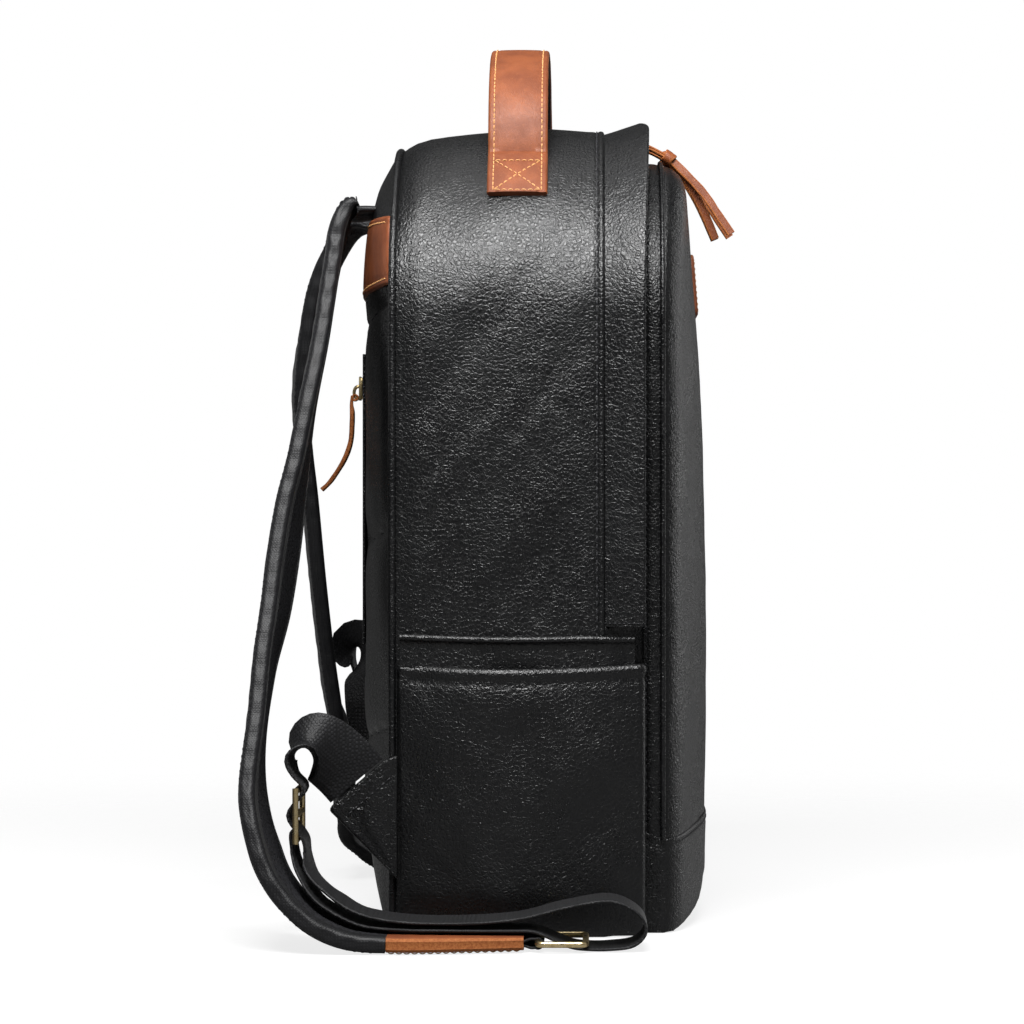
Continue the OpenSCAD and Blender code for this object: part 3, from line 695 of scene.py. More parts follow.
def front_bumper():
    """The leather guard round the foot of the front."""
    insets = EDGE_INSETS + steps_to(14.0, FRONT_R + CORNER_X, 3.4)[1:]
    verts = []
    rises = [0.0, 0.01, 0.03, 0.06, 0.1, 0.15, 0.21] + steps_to(0.28, 0.94, 0.055)
    rises += [0.965, 0.985, 0.996, 1.0]

    def stand_out(z, top):
        lip = 1.15 * math.sqrt(max(1 - max(0.0, (z - top + 1.2) / 1.2) ** 2, 0.0))
        return (lip if z > top - 1.2 else 1.15) - 0.5 * channel(z - top + 3.0, 0.8)

    for t in rises:
        line = []
        for k in range(6):
            y = -1.0 - 11.0 * (1 - k / 6)
            top = bumper_top(130.0) - 0.4 * (y + 1.0)
            z = top * t
            out = stand_out(z, top) + 0.5 * wave(0, y, z, 20.0, 3.0) * math.sin(math.pi * t)
            line.append((-(CORNER_X + FRONT_R) - out, FRONT_SEAM_Y - y - 1.0, z))
        for inset in insets:
            x = -(CORNER_X + FRONT_R) + inset
            top = bumper_top(x)
            z = top * t
            out = stand_out(z, top)
            side = 1 - min(inset / FRONT_DEEP, 1.0)
            low = float(smoothstep(z / 12.0))
            y = FRONT_SEAM_Y - front_reach(x, z, inset) - out * math.sqrt(1 - side**2) * (0.4 + 0.6 * low)
            y += (0.45 * wave(x, 7, z, 24.0, 5.5) + 0.12 * wave(x, 2, z, 7.0, 1.1)) * math.sin(math.pi * t)
            line.append((x - out * side, y, z))
        verts += line + [(-x, y, z) for x, y, z in line[:-1][::-1]]
    faces = grid_faces(len(rises), len(verts) // len(rises))
    return sheet_piece("front_bumper_leather", verts, faces, BLACK, (0, -1, 0), 2.0)


def bumper_stitches():
    """The row along the guard's upper edge."""
    points, ups = [], []
    for x in steps_to(-128.0, 128.0, 2.0):
        z = bumper_top(x) - 3.0
        inset = 130.0 - abs(x)
        points.append((x, FRONT_SEAM_Y - front_reach(x, z, inset) - 0.9, z))
        ups.append((x / 400.0, -1.0, 0.0))
    return stitches("bumper_stitches", points, ups, 3.6, 2.7, 0.38, BLACK_THREAD)


def front_strip():
    """The narrow side of the front section, between its piping and the zip."""
    ys = steps_to(FRONT_SEAM_Y + 0.2, -55.2, 0.9)

    def section(at):
        outer = []
        for y in ys:
            x, _, z = on_arch(at, FRONT_R, y)
            bulge = 0.9 * math.sin(math.pi * (y + 66.0) / 11.0)
            ripple = 0.3 * wave(x, y * 0.7, z, 9.0, 4.4)
            outer.append((FRONT_R + 0.1 + bulge * (1 + ripple) - 0.35 * channel(y + 57.2, 0.6), y))
        return band(outer, 1.8, 1)

    return arch_loft("front_strip_leather", arch(46.0, 2.8), section, BLACK)


def strip_stitches():
    """The row on the front section's edge strip."""
    places = arch(50.0, 3.0)
    points = [on_arch(at, FRONT_R + 0.4, -57.2) for at in places]
    ups = [(at[2], 0.0, at[3]) for at in places]
    return stitches("strip_stitches", points, ups, 3.8, 2.8, 0.36, BLACK_THREAD)


def round_section(centre, radius):
    """A circle of points round a centre."""
    turns = [2 * math.pi * k / 12 for k in range(12)]
    return [(centre[0] + radius * math.cos(a), centre[1] + radius * math.sin(a)) for a in turns]


def front_piping():
    """The leather cord in the front's seam."""
    def section(at):
        x, _, z = on_arch(at, FRONT_R, 0)
        return round_section((FRONT_R + 1.2, FRONT_SEAM_Y + 0.1), 1.35 + 0.12 * wave(x, 1, z, 6.0, 7.0))

    return arch_loft("front_piping_cord", arch(48.0, 2.6), section, BLACK)


def corner_leather(side):
    """The bag's side from the gusset's front edge to the front section, below the zip."""
    verts = []
    (x0, y0), (x1, y1) = (149.6, -34.4), (130.6, -56.0)
    levels = steps_to(2.5, 160.5, 3.0)
    steps = steps_to(0.0, 1.0, 1 / 14)
    for z in levels:
        for t in steps:
            x = x0 + (x1 - x0) * t
            y = y0 + (y1 - y0) * t
            puff = 1.3 * math.sin(math.pi * t) * float(smoothstep(z / 30.0))
            puff += 0.55 * wave(side * 30 + 10 * t, y * 1.4, z * 0.45, 13.0, 2.7) * math.sin(math.pi * t)
            verts.append((side * (x + 0.7 * puff), y - 0.7 * puff, z))
    faces = grid_faces(len(levels), len(steps))
    return sheet_piece("corner_leather", verts, faces, BLACK, (side, -1, 0), 2.0)


def patch_outline(inset):
    """A rounded rectangle, as x and z."""
    x0, x1, z0, z1 = -28 + inset, 28 - inset, 327 + inset, 360.5 - inset
    r = max(3.0 - inset, 0.5)
    points = []
    for cx, cz, a0 in ((x1 - r, z1 - r, 0), (x0 + r, z1 - r, 90),
                       (x0 + r, z0 + r, 180), (x1 - r, z0 + r, 270)):
        for k in range(6):
            a = math.radians(a0 + 18 * k)
            points.append((cx + r * math.cos(a), cz + r * math.sin(a)))
    return points


def front_patch():
    """The blank leather patch on the front, a little domed."""
    rings = []
    for inset, out in ((0.0, 0.0), (0.0, 1.4), (0.5, 2.0), (1.2, 2.15), (2.6, 2.05), (3.4, 2.1), (6.0, 2.25),
                       (11.0, 2.3), (15.5, 2.3)):
        rings.append([(x, FRONT_SEAM_Y - front_reach(x, z, 60.0) - out, z) for x, z in patch_outline(inset)])
    return loft("front_patch_leather", rings, TAN, sharp=45)


def patch_stitches():
    """The row round the patch."""
    points = patch_outline(2.6)
    points.append(points[0])
    line = [(x, FRONT_SEAM_Y - front_reach(x, z, 60.0) - 2.1, z) for x, z in points]
    return stitches("patch_stitches", line, (0, -1, 0), 3.2, 2.4, 0.34, TAN_THREAD)


over_fold(front_leather(), "black_leather", "front_panel_upper", "front_panel_lower")
over_fold(front_strip(), "black_leather", "front_gusset_upper", "front_gusset_lower")
over_fold(strip_stitches(), "black_leather")
over_fold(front_piping(), "black_leather", "front_piping_upper", "front_piping_lower")
place(front_bumper(), "bag", "black_leather", "front_bumper")
place(bumper_stitches(), "bag", "black_leather")
corners = join("corner_leathers", [corner_leather(-1), corner_leather(1)])
place(corners, "bag", "black_leather", "corner_gussets")
place(front_patch(), "front_section", "tan_leather", "front_patch")
place(patch_stitches(), "front_section", "tan_leather")


# ---- Back ----
BACK_TOP_Z = 383.0
BACK_TOP_R = 47.8
BACK_FOOT_Z = 130.0
BACK_FOOT_R = 395.0
BACK_EDGE_R = 101.9


def back_face(x, z):
    """The outer face of the padded back: crowned across, and falling away towards its upper edge."""
    across = BACK_Y - BACK_R + math.sqrt(BACK_R**2 - x * x)
    if z > BACK_TOP_Z:
        up = BACK_Y - BACK_TOP_R + math.sqrt(max(BACK_TOP_R**2 - (z - BACK_TOP_Z) ** 2, 0.0))
    elif z < BACK_FOOT_Z:
        up = BACK_Y - BACK_FOOT_R + math.sqrt(BACK_FOOT_R**2 - (BACK_FOOT_Z - z) ** 2)
    else:
        up = BACK_Y
    inset = max(inset_at(x, z), 0.0)
    roll = 75.2 + 18.6 * (1 - math.exp(-inset / 30.0))
    return smooth_min(smooth_min(across + 0.75, up + 0.75, 3.0), roll, 4.0)


BACK_CHANNELS_Z = (96.0, 200.0, 318.0)
BACK_SPINE = 16.0


def back_y(x, z, inset):
    """The back with its sewn channels, padding between them and the rolled edge at the piping."""
    y = back_face(x, z)
    gap = min([abs(z - c - 0.0006 * x * x) for c in BACK_CHANNELS_Z] + [abs(abs(x) - BACK_SPINE)])
    inner = float(smoothstep((inset - 6.0) / 16.0))
    near_zip = abs(x + 50.0) < 24 and 132 < z < 318
    quilt = 0.2 if near_zip else 1.0
    y += quilt * inner * (1.6 * (1 - channel(gap, 10.0)) - 2.0 * channel(gap, 1.7))
    y += 0.5 * wave(x, 4, z, 42.0, 3.9) * inner + 0.12 * wave(x, 2, z, 8.0, 5.0) * inner
    y -= 1.5 * channel(x + 50.0, 7.0) * float(smoothstep((z - 124.0) / 12.0) * smoothstep((324.0 - z) / 12.0))
    t = 1 - min(inset / 7.0, 1.0)
    return y - 1.6 + 1.6 * math.sqrt(1 - t * t)


def inset_at(x, z):
    """How far a place lies inside the outline of the back."""
    beside = max(abs(x) - CORNER_X, 0.0)
    above = max(z - CORNER_Z, 0.0)
    if above > 0.0:
        a = math.atan2(above, beside)
        return BODY_R - gusset_drop(a, 70.0) - 2.6 - math.hypot(beside, above)
    return BACK_EDGE_R - beside


def back_outline(at):
    """Radius of the back's edge: it follows the dropped rear edge of the gusset over the top."""
    return min(BACK_EDGE_R, BODY_R - gusset_drop(at[4], 70.0) - 2.6)


def back_pad():
    """The back panel as one padded piece: the leather face, its rolled edge and the flat inner side."""
    levels = steps_to(3.2, CORNER_Z, 3.0)[:-1]
    insets = [0.0, 0.7, 1.6, 2.8, 4.4, 6.6, 9.4, 12.8] + steps_to(16.0, BACK_EDGE_R, 3.3)
    return face_mesh("back_pad", BACK_EDGE_R, levels, insets, back_y, BLACK, (0, 1, 0), 9.0, back_outline)


def on_back(x, z, out=0.0):
    """A point on the back's leather, out mm above it."""
    return (x, back_y(x, z, inset_at(x, z)) + out, z)


def back_stitches():
    """The rows that quilt the back panel."""
    rows = []
    for c in BACK_CHANNELS_Z:
        for x0, x1 in ((-136, -78), (-24, 136)) if c == 200.0 else ((-136, 136),):
            line = [on_back(x, c + 0.0006 * x * x, 0.1) for x in steps_to(x0, x1, 2.5)]
            rows.append(stitches("row", line, (0, 1, 0), 4.0, 3.0, 0.42, BLACK_THREAD))
    for x in (-BACK_SPINE, BACK_SPINE):
        line = [on_back(x, z, 0.1) for z in steps_to(16, 326, 2.5)]
        rows.append(stitches("row", line, (0, 1, 0), 4.0, 3.0, 0.42, BLACK_THREAD))
    return join("back_stitches", rows)


def back_piping():
    """The leather cord in the back's seam."""
    def section(at):
        r = BODY_R - gusset_drop(at[4], 72.0) - 0.6
        x, _, z = on_arch(at, r, 0)
        return round_section((r, REAR_Y + 2.2), 2.05 + 0.12 * wave(x, 1, z, 6.0, 2.0))

    return arch_loft("back_piping_cord", arch(3.0, 2.6), section, BLACK)


def back_yoke():
    """The leather yoke across the shoulders, its edges turned and sewn."""
    half = 144.0
    across = steps_to(-1.0, 1.0, 1 / 45)
    verts = []
    ts = [0.0, 0.012, 0.03, 0.055, 0.09] + steps_to(0.14, 0.86, 0.08) + [0.91, 0.945, 0.97, 0.988, 1.0]
    for t in ts:
        for u in across:
            low = 333.0 + 4.0 * u * u
            high = 375.5 - 2.0 * u * u
            z = low + (high - low) * t
            x = u * (CORNER_X + math.sqrt(99.0**2 - max(z - CORNER_Z, 0.0) ** 2))
            edge = min(t, 1 - t) * (high - low)
            lip = 1.7 * math.sqrt(1 - (1 - min(edge / 2.2, 1.0)) ** 2)
            y = back_face(x, z) + 1.2 + lip - 0.45 * channel(edge - 3.4, 0.8)
            end = min(1.0, (1 - abs(u)) * half / 6.0)
            verts.append((x, y - 1.2 * (1 - end) + 0.3 * wave(x, 3, z, 22.0, 8.0), z))
    faces = grid_faces(len(ts), len(across))
    return sheet_piece("back_yoke_leather", verts, faces, TAN, (0, 1, 0), 1.6)


def yoke_stitches():
    """The rows round the yoke."""
    rows = []
    for edge in (3.4, -3.4):
        points, ups = [], []
        for u in steps_to(-0.97, 0.97, 1 / 60):
            low = 333.0 + 4.0 * u * u
            high = 375.5 - 2.0 * u * u
            z = low + edge if edge > 0 else high + edge
            x = u * (CORNER_X + math.sqrt(99.0**2 - (z - CORNER_Z) ** 2))
            points.append((x, back_face(x, z) + 2.75, z))
            ups.append((0.3 * u, 1, 0))
        rows.append(stitches("row", points, ups, 3.8, 2.8, 0.38, TAN_THREAD))
    return join("yoke_stitches", rows)


place(back_pad(), "bag", "black_leather", "back_panel", "back_foam")
place(back_stitches(), "bag", "black_leather")
place(back_piping(), "bag", "black_leather", "back_piping")
place(back_yoke(), "bag", "tan_leather", "back_yoke")
place(yoke_stitches(), "bag", "tan_leather")


# ---- Bands of leather and cloth ----
def ribbon_frames(rows, per):
    """Centre, width direction, outward direction, width, thickness and run along a smooth band."""
    path = spline(rows, per)
    last = len(path) - 1
    out = []
    run = 0.0
    for i, p in enumerate(path):
        t = unit(path[min(i + 1, last)][:3] - path[max(i - 1, 0)][:3])
        w = unit(p[3:6] - np.dot(p[3:6], t) * t)
        u = unit(np.cross(t, w))
        if i:
            run += float(np.linalg.norm(p[:3] - path[i - 1][:3]))
        out.append((p[:3], w, u, float(p[6]), float(p[7]), run))
    return out


def ribbon_mesh(name, frames, section, material, sharp=50):
    """Lofts section(width, thickness, run, length), a list of across and outward distances, along a band."""
    rings = []
    for centre, w, u, width, thick, run in frames:
        rings.append([centre + a * w + b * u for a, b in section(width, thick, run, frames[-1][5])])
    return loft(name, rings, material, sharp=sharp)


def flat_section(width, thick, crown=0.0, grooves=(), depth=0.3, steps=16):
    """A strap's section: rounded edges, a slightly crowned face and sunk stitch lines near the edges."""
    half = width / 2
    r = thick / 2
    face = []
    for k in range(steps + 1):
        a = (half - r) * (2 * k / steps - 1)
        b = r + crown * (1 - (a / half) ** 2)
        for g in grooves:
            b -= depth * channel(abs(a) - (half - g), 0.7)
        face.append((a, b))
    turn = [(math.sin(math.pi * k / 6), math.cos(math.pi * k / 6)) for k in range(1, 6)]
    right = [(half - r + r * s, r * c) for s, c in turn]
    under = [(a, -r) for a, _ in face[::-4]]
    left = [(-(half - r) - r * s, r * c) for s, c in turn[::-1]]
    return face + right + under + left


def edge_paint(obj, material, axis, limit=0.72):
    """Gives the cut edges of a leather piece their own material: faces that look along the given axis."""
    obj.data.materials.append(material)
    index = len(obj.data.materials) - 1
    for poly in obj.data.polygons:
        if abs(poly.normal.dot(Vector(axis))) > limit:
            poly.material_index = index


# ---- Handle ----
HANDLE_Y = 10.0
HANDLE_W = 31.5
HANDLE_FOOT = 36.0
HANDLE_HEAD = 54.0
HANDLE_TOP = 472.0
HANDLE_SPAN = CORNER_X + (BODY_R + 2) * math.cos(math.radians(HANDLE_HEAD))
HANDLE_BASE = CORNER_Z + (BODY_R + 2) * math.sin(math.radians(HANDLE_HEAD))


def handle_rows(t, inner=False):
    """Centre line of the handle, standing off the gusset's surface by t at its feet."""
    left = []
    if not inner:
        for k in steps_to(HANDLE_FOOT, HANDLE_HEAD, 1.5):
            a = math.radians(k)
            r = BODY_R - gusset_drop(a, HANDLE_Y) * float(smoothstep((HANDLE_HEAD + 3 - k) / 12.0)) + t
            left.append((-CORNER_X - r * math.cos(a), CORNER_Z + r * math.sin(a)))
    arc = []
    for k in [0.35] + steps_to(1.0, 13.0, 0.5) + [13.65]:
        a = math.radians(-180 + 180 * k / 14)
        x = (HANDLE_SPAN + t - 1.9) * math.copysign(abs(math.cos(a)) ** 0.85, math.cos(a))
        arc.append((x, HANDLE_BASE + (HANDLE_TOP - HANDLE_BASE) * math.sin(-a) ** 0.9 + t - 2))
    if inner:
        arc = arc[2:-2]
    points = left + arc + [(-x, z) for x, z in left[::-1]]
    return [(x, HANDLE_Y, z, 0, 1, 0, HANDLE_W, 3.0) for x, z in points]


def handle_section(width, thick, run, length):
    """The handle's section, a little uneven along its length."""
    wobble = 0.25 * wave(run, 1, 0, 30.0, 6.0)
    return flat_section(width + wobble, thick, 0.5, grooves=(3.2,), depth=0.35)


def handle():
    """The leather handle with its feet sewn on by a box and a cross."""
    frames = ribbon_frames(handle_rows(1.9), 2)
    strap = ribbon_mesh("handle_strap", frames, handle_section, TAN)
    edge_paint(strap, TAN_EDGE, (0, 1, 0))
    rows = []

    def sew(line):
        """Adds one row of stitches along pairs of a point and its outward direction."""
        rows.append(stitches("row", *zip(*line), 3.3, 2.5, 0.36, TAN_THREAD))

    for offset in (-12.6, 12.6):
        sew([(c + w * offset + u * (thick / 2 + 0.15), u) for c, w, u, _, thick, _ in frames[1:-1]])
    foot = [f for f in frames if f[5] < 25.0]
    for mirrored in (False, True):
        group = foot if not mirrored else frames[::-1][:len(foot)]
        for end in (group[1], group[-1]):
            centre, w, u, _, thick, _ = end
            sew([(centre + w * a + u * (thick / 2 + 0.6), u) for a in steps_to(-12.0, 12.0, 3.0)])
        for slope in (-1, 1):
            cross = []
            for i, (centre, w, u, _, thick, _) in enumerate(group[1:]):
                a = slope * 12.0 * (2 * i / (len(group) - 2) - 1)
                cross.append((centre + w * a + u * (thick / 2 + 0.45), u))
            sew(cross)
    return strap, join("handle_stitches", rows)


def handle_lining():
    """The cloth on the handle's inner side."""
    frames = ribbon_frames(handle_rows(-0.8, inner=True), 2)

    def section(width, thick, run, length):
        return flat_section(width - 1.4, 1.8, 0.0)

    return ribbon_mesh("handle_lining_cloth", frames, section, LINING)


# ---- Side pockets ----
POCKET_RIM = 138.5


def pocket_plan():
    """The pocket's outer line seen from above, from the rear seam round the front edge."""
    line = []
    for t in steps_to(0.0, 1.0, 1 / 46):
        y = 71.5 - 123.0 * t
        line.append((-150.2 - 10.6 * math.sin(math.pi * t) ** 0.9, y))
    for k in range(1, 7):
        a = math.radians(15 * k)
        line.append((-145.6 - 4.6 * math.cos(a), -51.5 - 4.8 * math.sin(a)))
    line += [(x, -56.6) for x in steps_to(-143.5, -132.0, 2.2)]
    return line


def pocket_rim(y):
    """The rim sags a little in the middle."""
    return POCKET_RIM + 2.2 * ((y - 10.0) / 62.0) ** 2


def pocket(side):
    """An open side pocket: its leather stands off the bag a little and gathers at the rim."""
    line = pocket_plan()
    normal = []
    for i in range(len(line)):
        a, b = line[max(i - 1, 0)], line[min(i + 1, len(line) - 1)]
        d = unit((b[0] - a[0], b[1] - a[1], 0))
        normal.append((d[1], -d[0]) if d[1] < 0 or d[0] > 0 else (-d[1], d[0]))
    rises = [0.0, 0.012, 0.03, 0.055] + steps_to(0.08, 0.93, 0.019)
    rises += [0.945, 0.958, 0.97, 0.98, 0.988, 0.994, 1.0]
    verts = []
    for t in rises:
        for (x, y), (nx, ny) in zip(line, normal):
            rim = pocket_rim(min(max(y, -52), 72))
            z = 0.6 + (rim - 0.6) * t
            free = float(smoothstep((y + 60) / 20.0) * smoothstep((74 - y) / 14.0))
            low = float(smoothstep(z / 26.0))
            out = -3.6 * (1 - low) * free
            out += free * low * (1.7 * wave(side * 25 + y + 0.4 * z, 3, z - 0.5 * y, 44.0, 1.2)
                                 + 0.62 * wave(side * 12 + y - 0.6 * z, 8, 0.4 * z + 0.3 * y, 15.0, 3.8))
            out += 0.12 * wave(y, 4, z, 6.0, 2.6)
            out -= 1.5 * free * float(smoothstep((t - 0.86) / 0.14))
            out += 0.75 * channel(rim - z - 2.6, 2.4) - 0.55 * channel(rim - z - 7.6, 1.0)
            out -= 1.0 * float(smoothstep((t - 0.985) / 0.015))
            verts.append((-side * (x + nx * out), y + ny * out, z))
    name = "pocket_leather_" + ("right" if side > 0 else "left")
    return sheet_piece(name, verts, grid_faces(len(rises), len(line)), BLACK, (side, 0, 0), 2.2)


def pocket_back(side):
    """The leather behind the pocket: its upper edge is rolled over a cord and runs forward under the hood."""
    rings = []
    for y in steps_to(70.0, -51.0, -2.4):
        t = (70.0 - y) / 121.0
        top = 156.6 - 1.5 * math.sin(math.pi * t) - 1.4 * float(smoothstep((t - 0.75) / 0.25))
        base = 150.6 + 2.4 * math.sin(math.pi * min(t * 1.15, 1.0)) ** 0.8
        base -= 4.2 * float(smoothstep((-36.0 - y) / 14.0))
        curve = []
        for z in steps_to(96.0, top - 5.0, 2.6):
            puff = 0.7 * wave(side * 9 + y, 5, z, 17.0, 7.7) + 0.25 * wave(y, 5, z, 6.0, 2.1)
            curve.append((base + puff * math.sin(math.pi * min(max(t, 0.03), 0.97)), z))
        foot = curve[-1][0]
        for k in range(9):
            a = math.radians(-70 + 30 * k)
            curve.append((foot + 0.9 + 1.7 * math.cos(a), top - 2.0 + 1.7 * math.sin(a)))
        curve.append((foot - 1.3, top - 5.0))
        curve.append((foot - 1.7, 96.0))
        rings.append([(side * x, y, z) for x, z in curve])
    return loft("pocket_back_leather_" + ("right" if side > 0 else "left"), rings, BLACK)


strap, sewing = handle()
place(strap, "bag", "tan_leather", "handle_leather")
place(sewing, "bag", "tan_leather")
place(handle_lining(), "bag", "lining", "handle_lining")
for side, word in ((-1, "left"), (1, "right")):
    place(pocket(side), "bag", "black_leather", "pocket_" + word)
    place(pocket_back(side), "bag", "black_leather", "pocket_back_" + word)


# ---- Main zip ----
ZIP_FROM = np.array([99.7, -35.0])
ZIP_TO = np.array([85.5, -55.0])
ZIP_LEN = float(np.linalg.norm(ZIP_TO - ZIP_FROM))
ZIP_DIR = (ZIP_TO - ZIP_FROM) / ZIP_LEN
ZIP_NRM = np.array([-ZIP_DIR[1], ZIP_DIR[0]])
ZIP_MID = 12.0
TOOTH_PITCH = 2.6
TOOTH_R = 92.75
# Each layer of a tooth, from its root to its head: place along the tooth, half width and half height.
TOOTH_RINGS = ((-3.2, 0.62, 0.8), (-1.2, 0.62, 1.15), (-0.2, 0.52, 1.1), (0.7, 0.78, 1.1), (1.1, 0.5, 0.7))


def zip_tape(name, start, end):
    """Half of the zip's woven tape, on its slope between the gusset and the front section."""
    def section(at):
        curve = []
        for s in steps_to(start, end, 1.1):
            lift = 0.25 * wave(at[0] + at[2] * 90, s, at[1] + at[3] * 90, 22.0, start)
            curve.append(ZIP_FROM + ZIP_DIR * s + ZIP_NRM * (0.45 + lift))
        return band(curve, 0.9, 1)

    return arch_loft(name, arch(162.0, 3.0), section, ZIP_TAPE)


def tooth_faces(start, layers):
    """The faces of one tooth: layers of four corners each, counted from start."""
    top = start + 4 * (layers - 1)
    ends = [(start + 3, start + 2, start + 1, start), (top, top + 1, top + 2, top + 3)]
    return rod_faces(start, layers - 1, 4) + ends


def zip_teeth(name, side):
    """One row of cast teeth along the zip, each a tapered block with a head."""
    places = arch(163.0, 2.0)
    rows = np.array([(at[0] + at[2] * TOOTH_R, 0.0, at[1] + at[3] * TOOTH_R, *at) for at in places])
    rows, _ = even_steps(rows, TOOTH_PITCH)
    verts, faces = [], []
    for i, row in enumerate(rows[:-1]):
        row = row + (rows[i + 1] - row) * (0.0 if side < 0 else 0.5)
        spine = np.array([row[3], 0.0, row[4]])
        out = unit((row[5], 0.0, row[6]))
        along = unit((rows[i + 1] - rows[i])[:3])
        normal = out * ZIP_NRM[0] + np.array([0.0, ZIP_NRM[1], 0.0])
        across = out * ZIP_DIR[0] + np.array([0.0, ZIP_DIR[1], 0.0])
        base = spine + out * ZIP_FROM[0] + np.array([0.0, ZIP_FROM[1], 0.0]) + across * ZIP_MID
        start = len(verts)
        for s, half, high in TOOTH_RINGS:
            for a, b in ((-half, -high), (half, -high), (half, high), (-half, high)):
                verts.append(base + across * s * -side + along * a + normal * b)
        faces += tooth_faces(start, len(TOOTH_RINGS))
    return add_mesh(name, verts, faces, BRASS, sharp=30)


def solid_outline(name, outline, low, high, to_world, material, bevel=0.35):
    """A plate from an outline, with rounded edges; to_world turns (u, v, height) into a place."""
    outline = np.asarray(outline, float)
    middle = outline.mean(0)
    rings = []
    for inset, h in ((bevel, low), (bevel * 0.3, low + bevel * 0.3), (0, low + bevel), (0, high - bevel),
                     (bevel * 0.3, high - bevel * 0.3), (bevel, high)):
        ring = []
        for p in outline:
            d = p - middle
            ring.append(to_world(*(p - unit(np.append(d, 0))[:2] * inset), h))
        rings.append(ring)
    return loft(name, rings, material, sharp=40)


def shield(length, wide, narrow):
    """The outline of a slider's plate: broad and forked in front, narrower behind."""
    half = length / 2
    side = [(half, wide * 0.30), (half * 0.86, wide * 0.46), (half * 0.55, wide / 2), (0.0, wide * 0.47),
            (-half * 0.5, narrow * 0.55), (-half * 0.85, narrow / 2), (-half, narrow * 0.3)]
    return side + [(u, -v) for u, v in side[::-1]]


def tube(name, points, radius, material):
    """A round bar along points, with rounded ends."""
    points = [np.asarray(p, float) for p in points]
    rings = []
    ref = None
    last = len(points) - 1
    for i, p in enumerate(points):
        t = unit(points[min(i + 1, last)] - points[max(i - 1, 0)])
        if ref is None:
            ref = unit(np.cross(t, (0, 0, 1) if abs(t[2]) < 0.9 else (1, 0, 0)))
        else:
            ref = unit(ref - np.dot(ref, t) * t)
        b = np.cross(t, ref)
        ends = ()
        if i == 0:
            ends = ((0.45, -0.55), (0.85, -0.2))
        elif i == last:
            ends = ((0.85, 0.2), (0.45, 0.55))
        turns = [2 * math.pi * k / 10 for k in range(10)]
        ring = [p + (ref * math.cos(a) + b * math.sin(a)) * radius for a in turns]
        caps = [[p + (q - p) * s + t * radius * o for q in ring] for s, o in ends]
        rings += caps + [ring] if i == 0 else [ring] + caps
    return loft(name, rings, material)


def zip_slider(name, to_world, pin, length=14.0, wide=9.0):
    """A brass zip slider: upper and lower plates, a diamond between them, side flanges and the bridge."""
    parts = [solid_outline("plate", shield(length, wide, wide * 0.78), 1.75, 3.0, to_world, BRASS)]
    lower = shield(length - 0.6, wide - 0.6, wide * 0.7)
    parts.append(solid_outline("plate", lower, -2.6, -1.5, to_world, BRASS))
    parts.append(solid_outline("diamond", [(length / 2 - 0.6, 0), (3.0, 1.3), (1.0, 0), (3.0, -1.3)],
                               -2.0, 2.0, to_world, BRASS, 0.2))
    for v in (-1, 1):
        flange = [to_world(u, v * (wide * 0.40), 1.45) for u in (length * 0.3, -length * 0.42)]
        parts.append(tube("flange", flange, 0.75, BRASS))
    u0, h0 = pin
    bridge = []
    for k in range(11):
        a = math.pi * k / 10
        bridge.append(to_world(u0 + 3.4 * math.cos(a), 0.0, 2.6 + (h0 - 1.2) * math.sin(a) ** 0.7))
    parts.append(tube("bridge", bridge, 0.95, BRASS))
    return join(name, parts)


def main_slider(x):
    """One of the two brass sliders of the main zip, at x along its top."""
    base = ZIP_FROM + ZIP_DIR * ZIP_MID

    def to_world(u, v, h):
        r, y = base + ZIP_DIR * v + ZIP_NRM * h
        return np.array([x + u, y, CORNER_Z + r])

    return zip_slider("slider_brass_" + ("left" if x < -40 else "right"), to_world, (0.0, 5.2))


# ---- Leather pulls ----
PIN_Y = -48.610
PIN_Z = 418.414
PULL_LOOP = [(-1.5, .4, 3.4), (-4.6, .4, 3.4), (-7, 0, 6), (-11, -1.2, 7), (-16, -3.6, 7), (-20, -5.8, 7)]
PULL_TAIL_A = [(-22, -7.5), (-26, -11), (-32.6, -19.6), (-37.4, -28), (-42.4, -38), (-47.6, -50.4)]
PULL_TAIL_B = [(-22, -6.5), (-26.6, -10.9), (-35.9, -20.4), (-42.4, -28.1), (-48.9, -37.9), (-56, -48.4)]


def lace(name, rows, seed):
    """A cut leather lace: flat, a little uneven, with raw edges."""
    frames = ribbon_frames(rows, 6)

    def section(width, thick, run, length):
        w = width * (1 + 0.10 * wave(run, seed, 0, 7.0, seed))
        return flat_section(w, thick * (1 + 0.12 * wave(run, seed, 3, 5.0, seed)), 0.25, steps=8)

    obj = ribbon_mesh(name, frames, section, TAN)
    obj.data.materials.append(TAN_EDGE)
    m = len(section(5, 2, 0, 1))
    for poly in obj.data.polygons:
        j = poly.index % m
        if 8 <= j <= 13 or j >= m - 5:
            poly.material_index = 1
    return obj


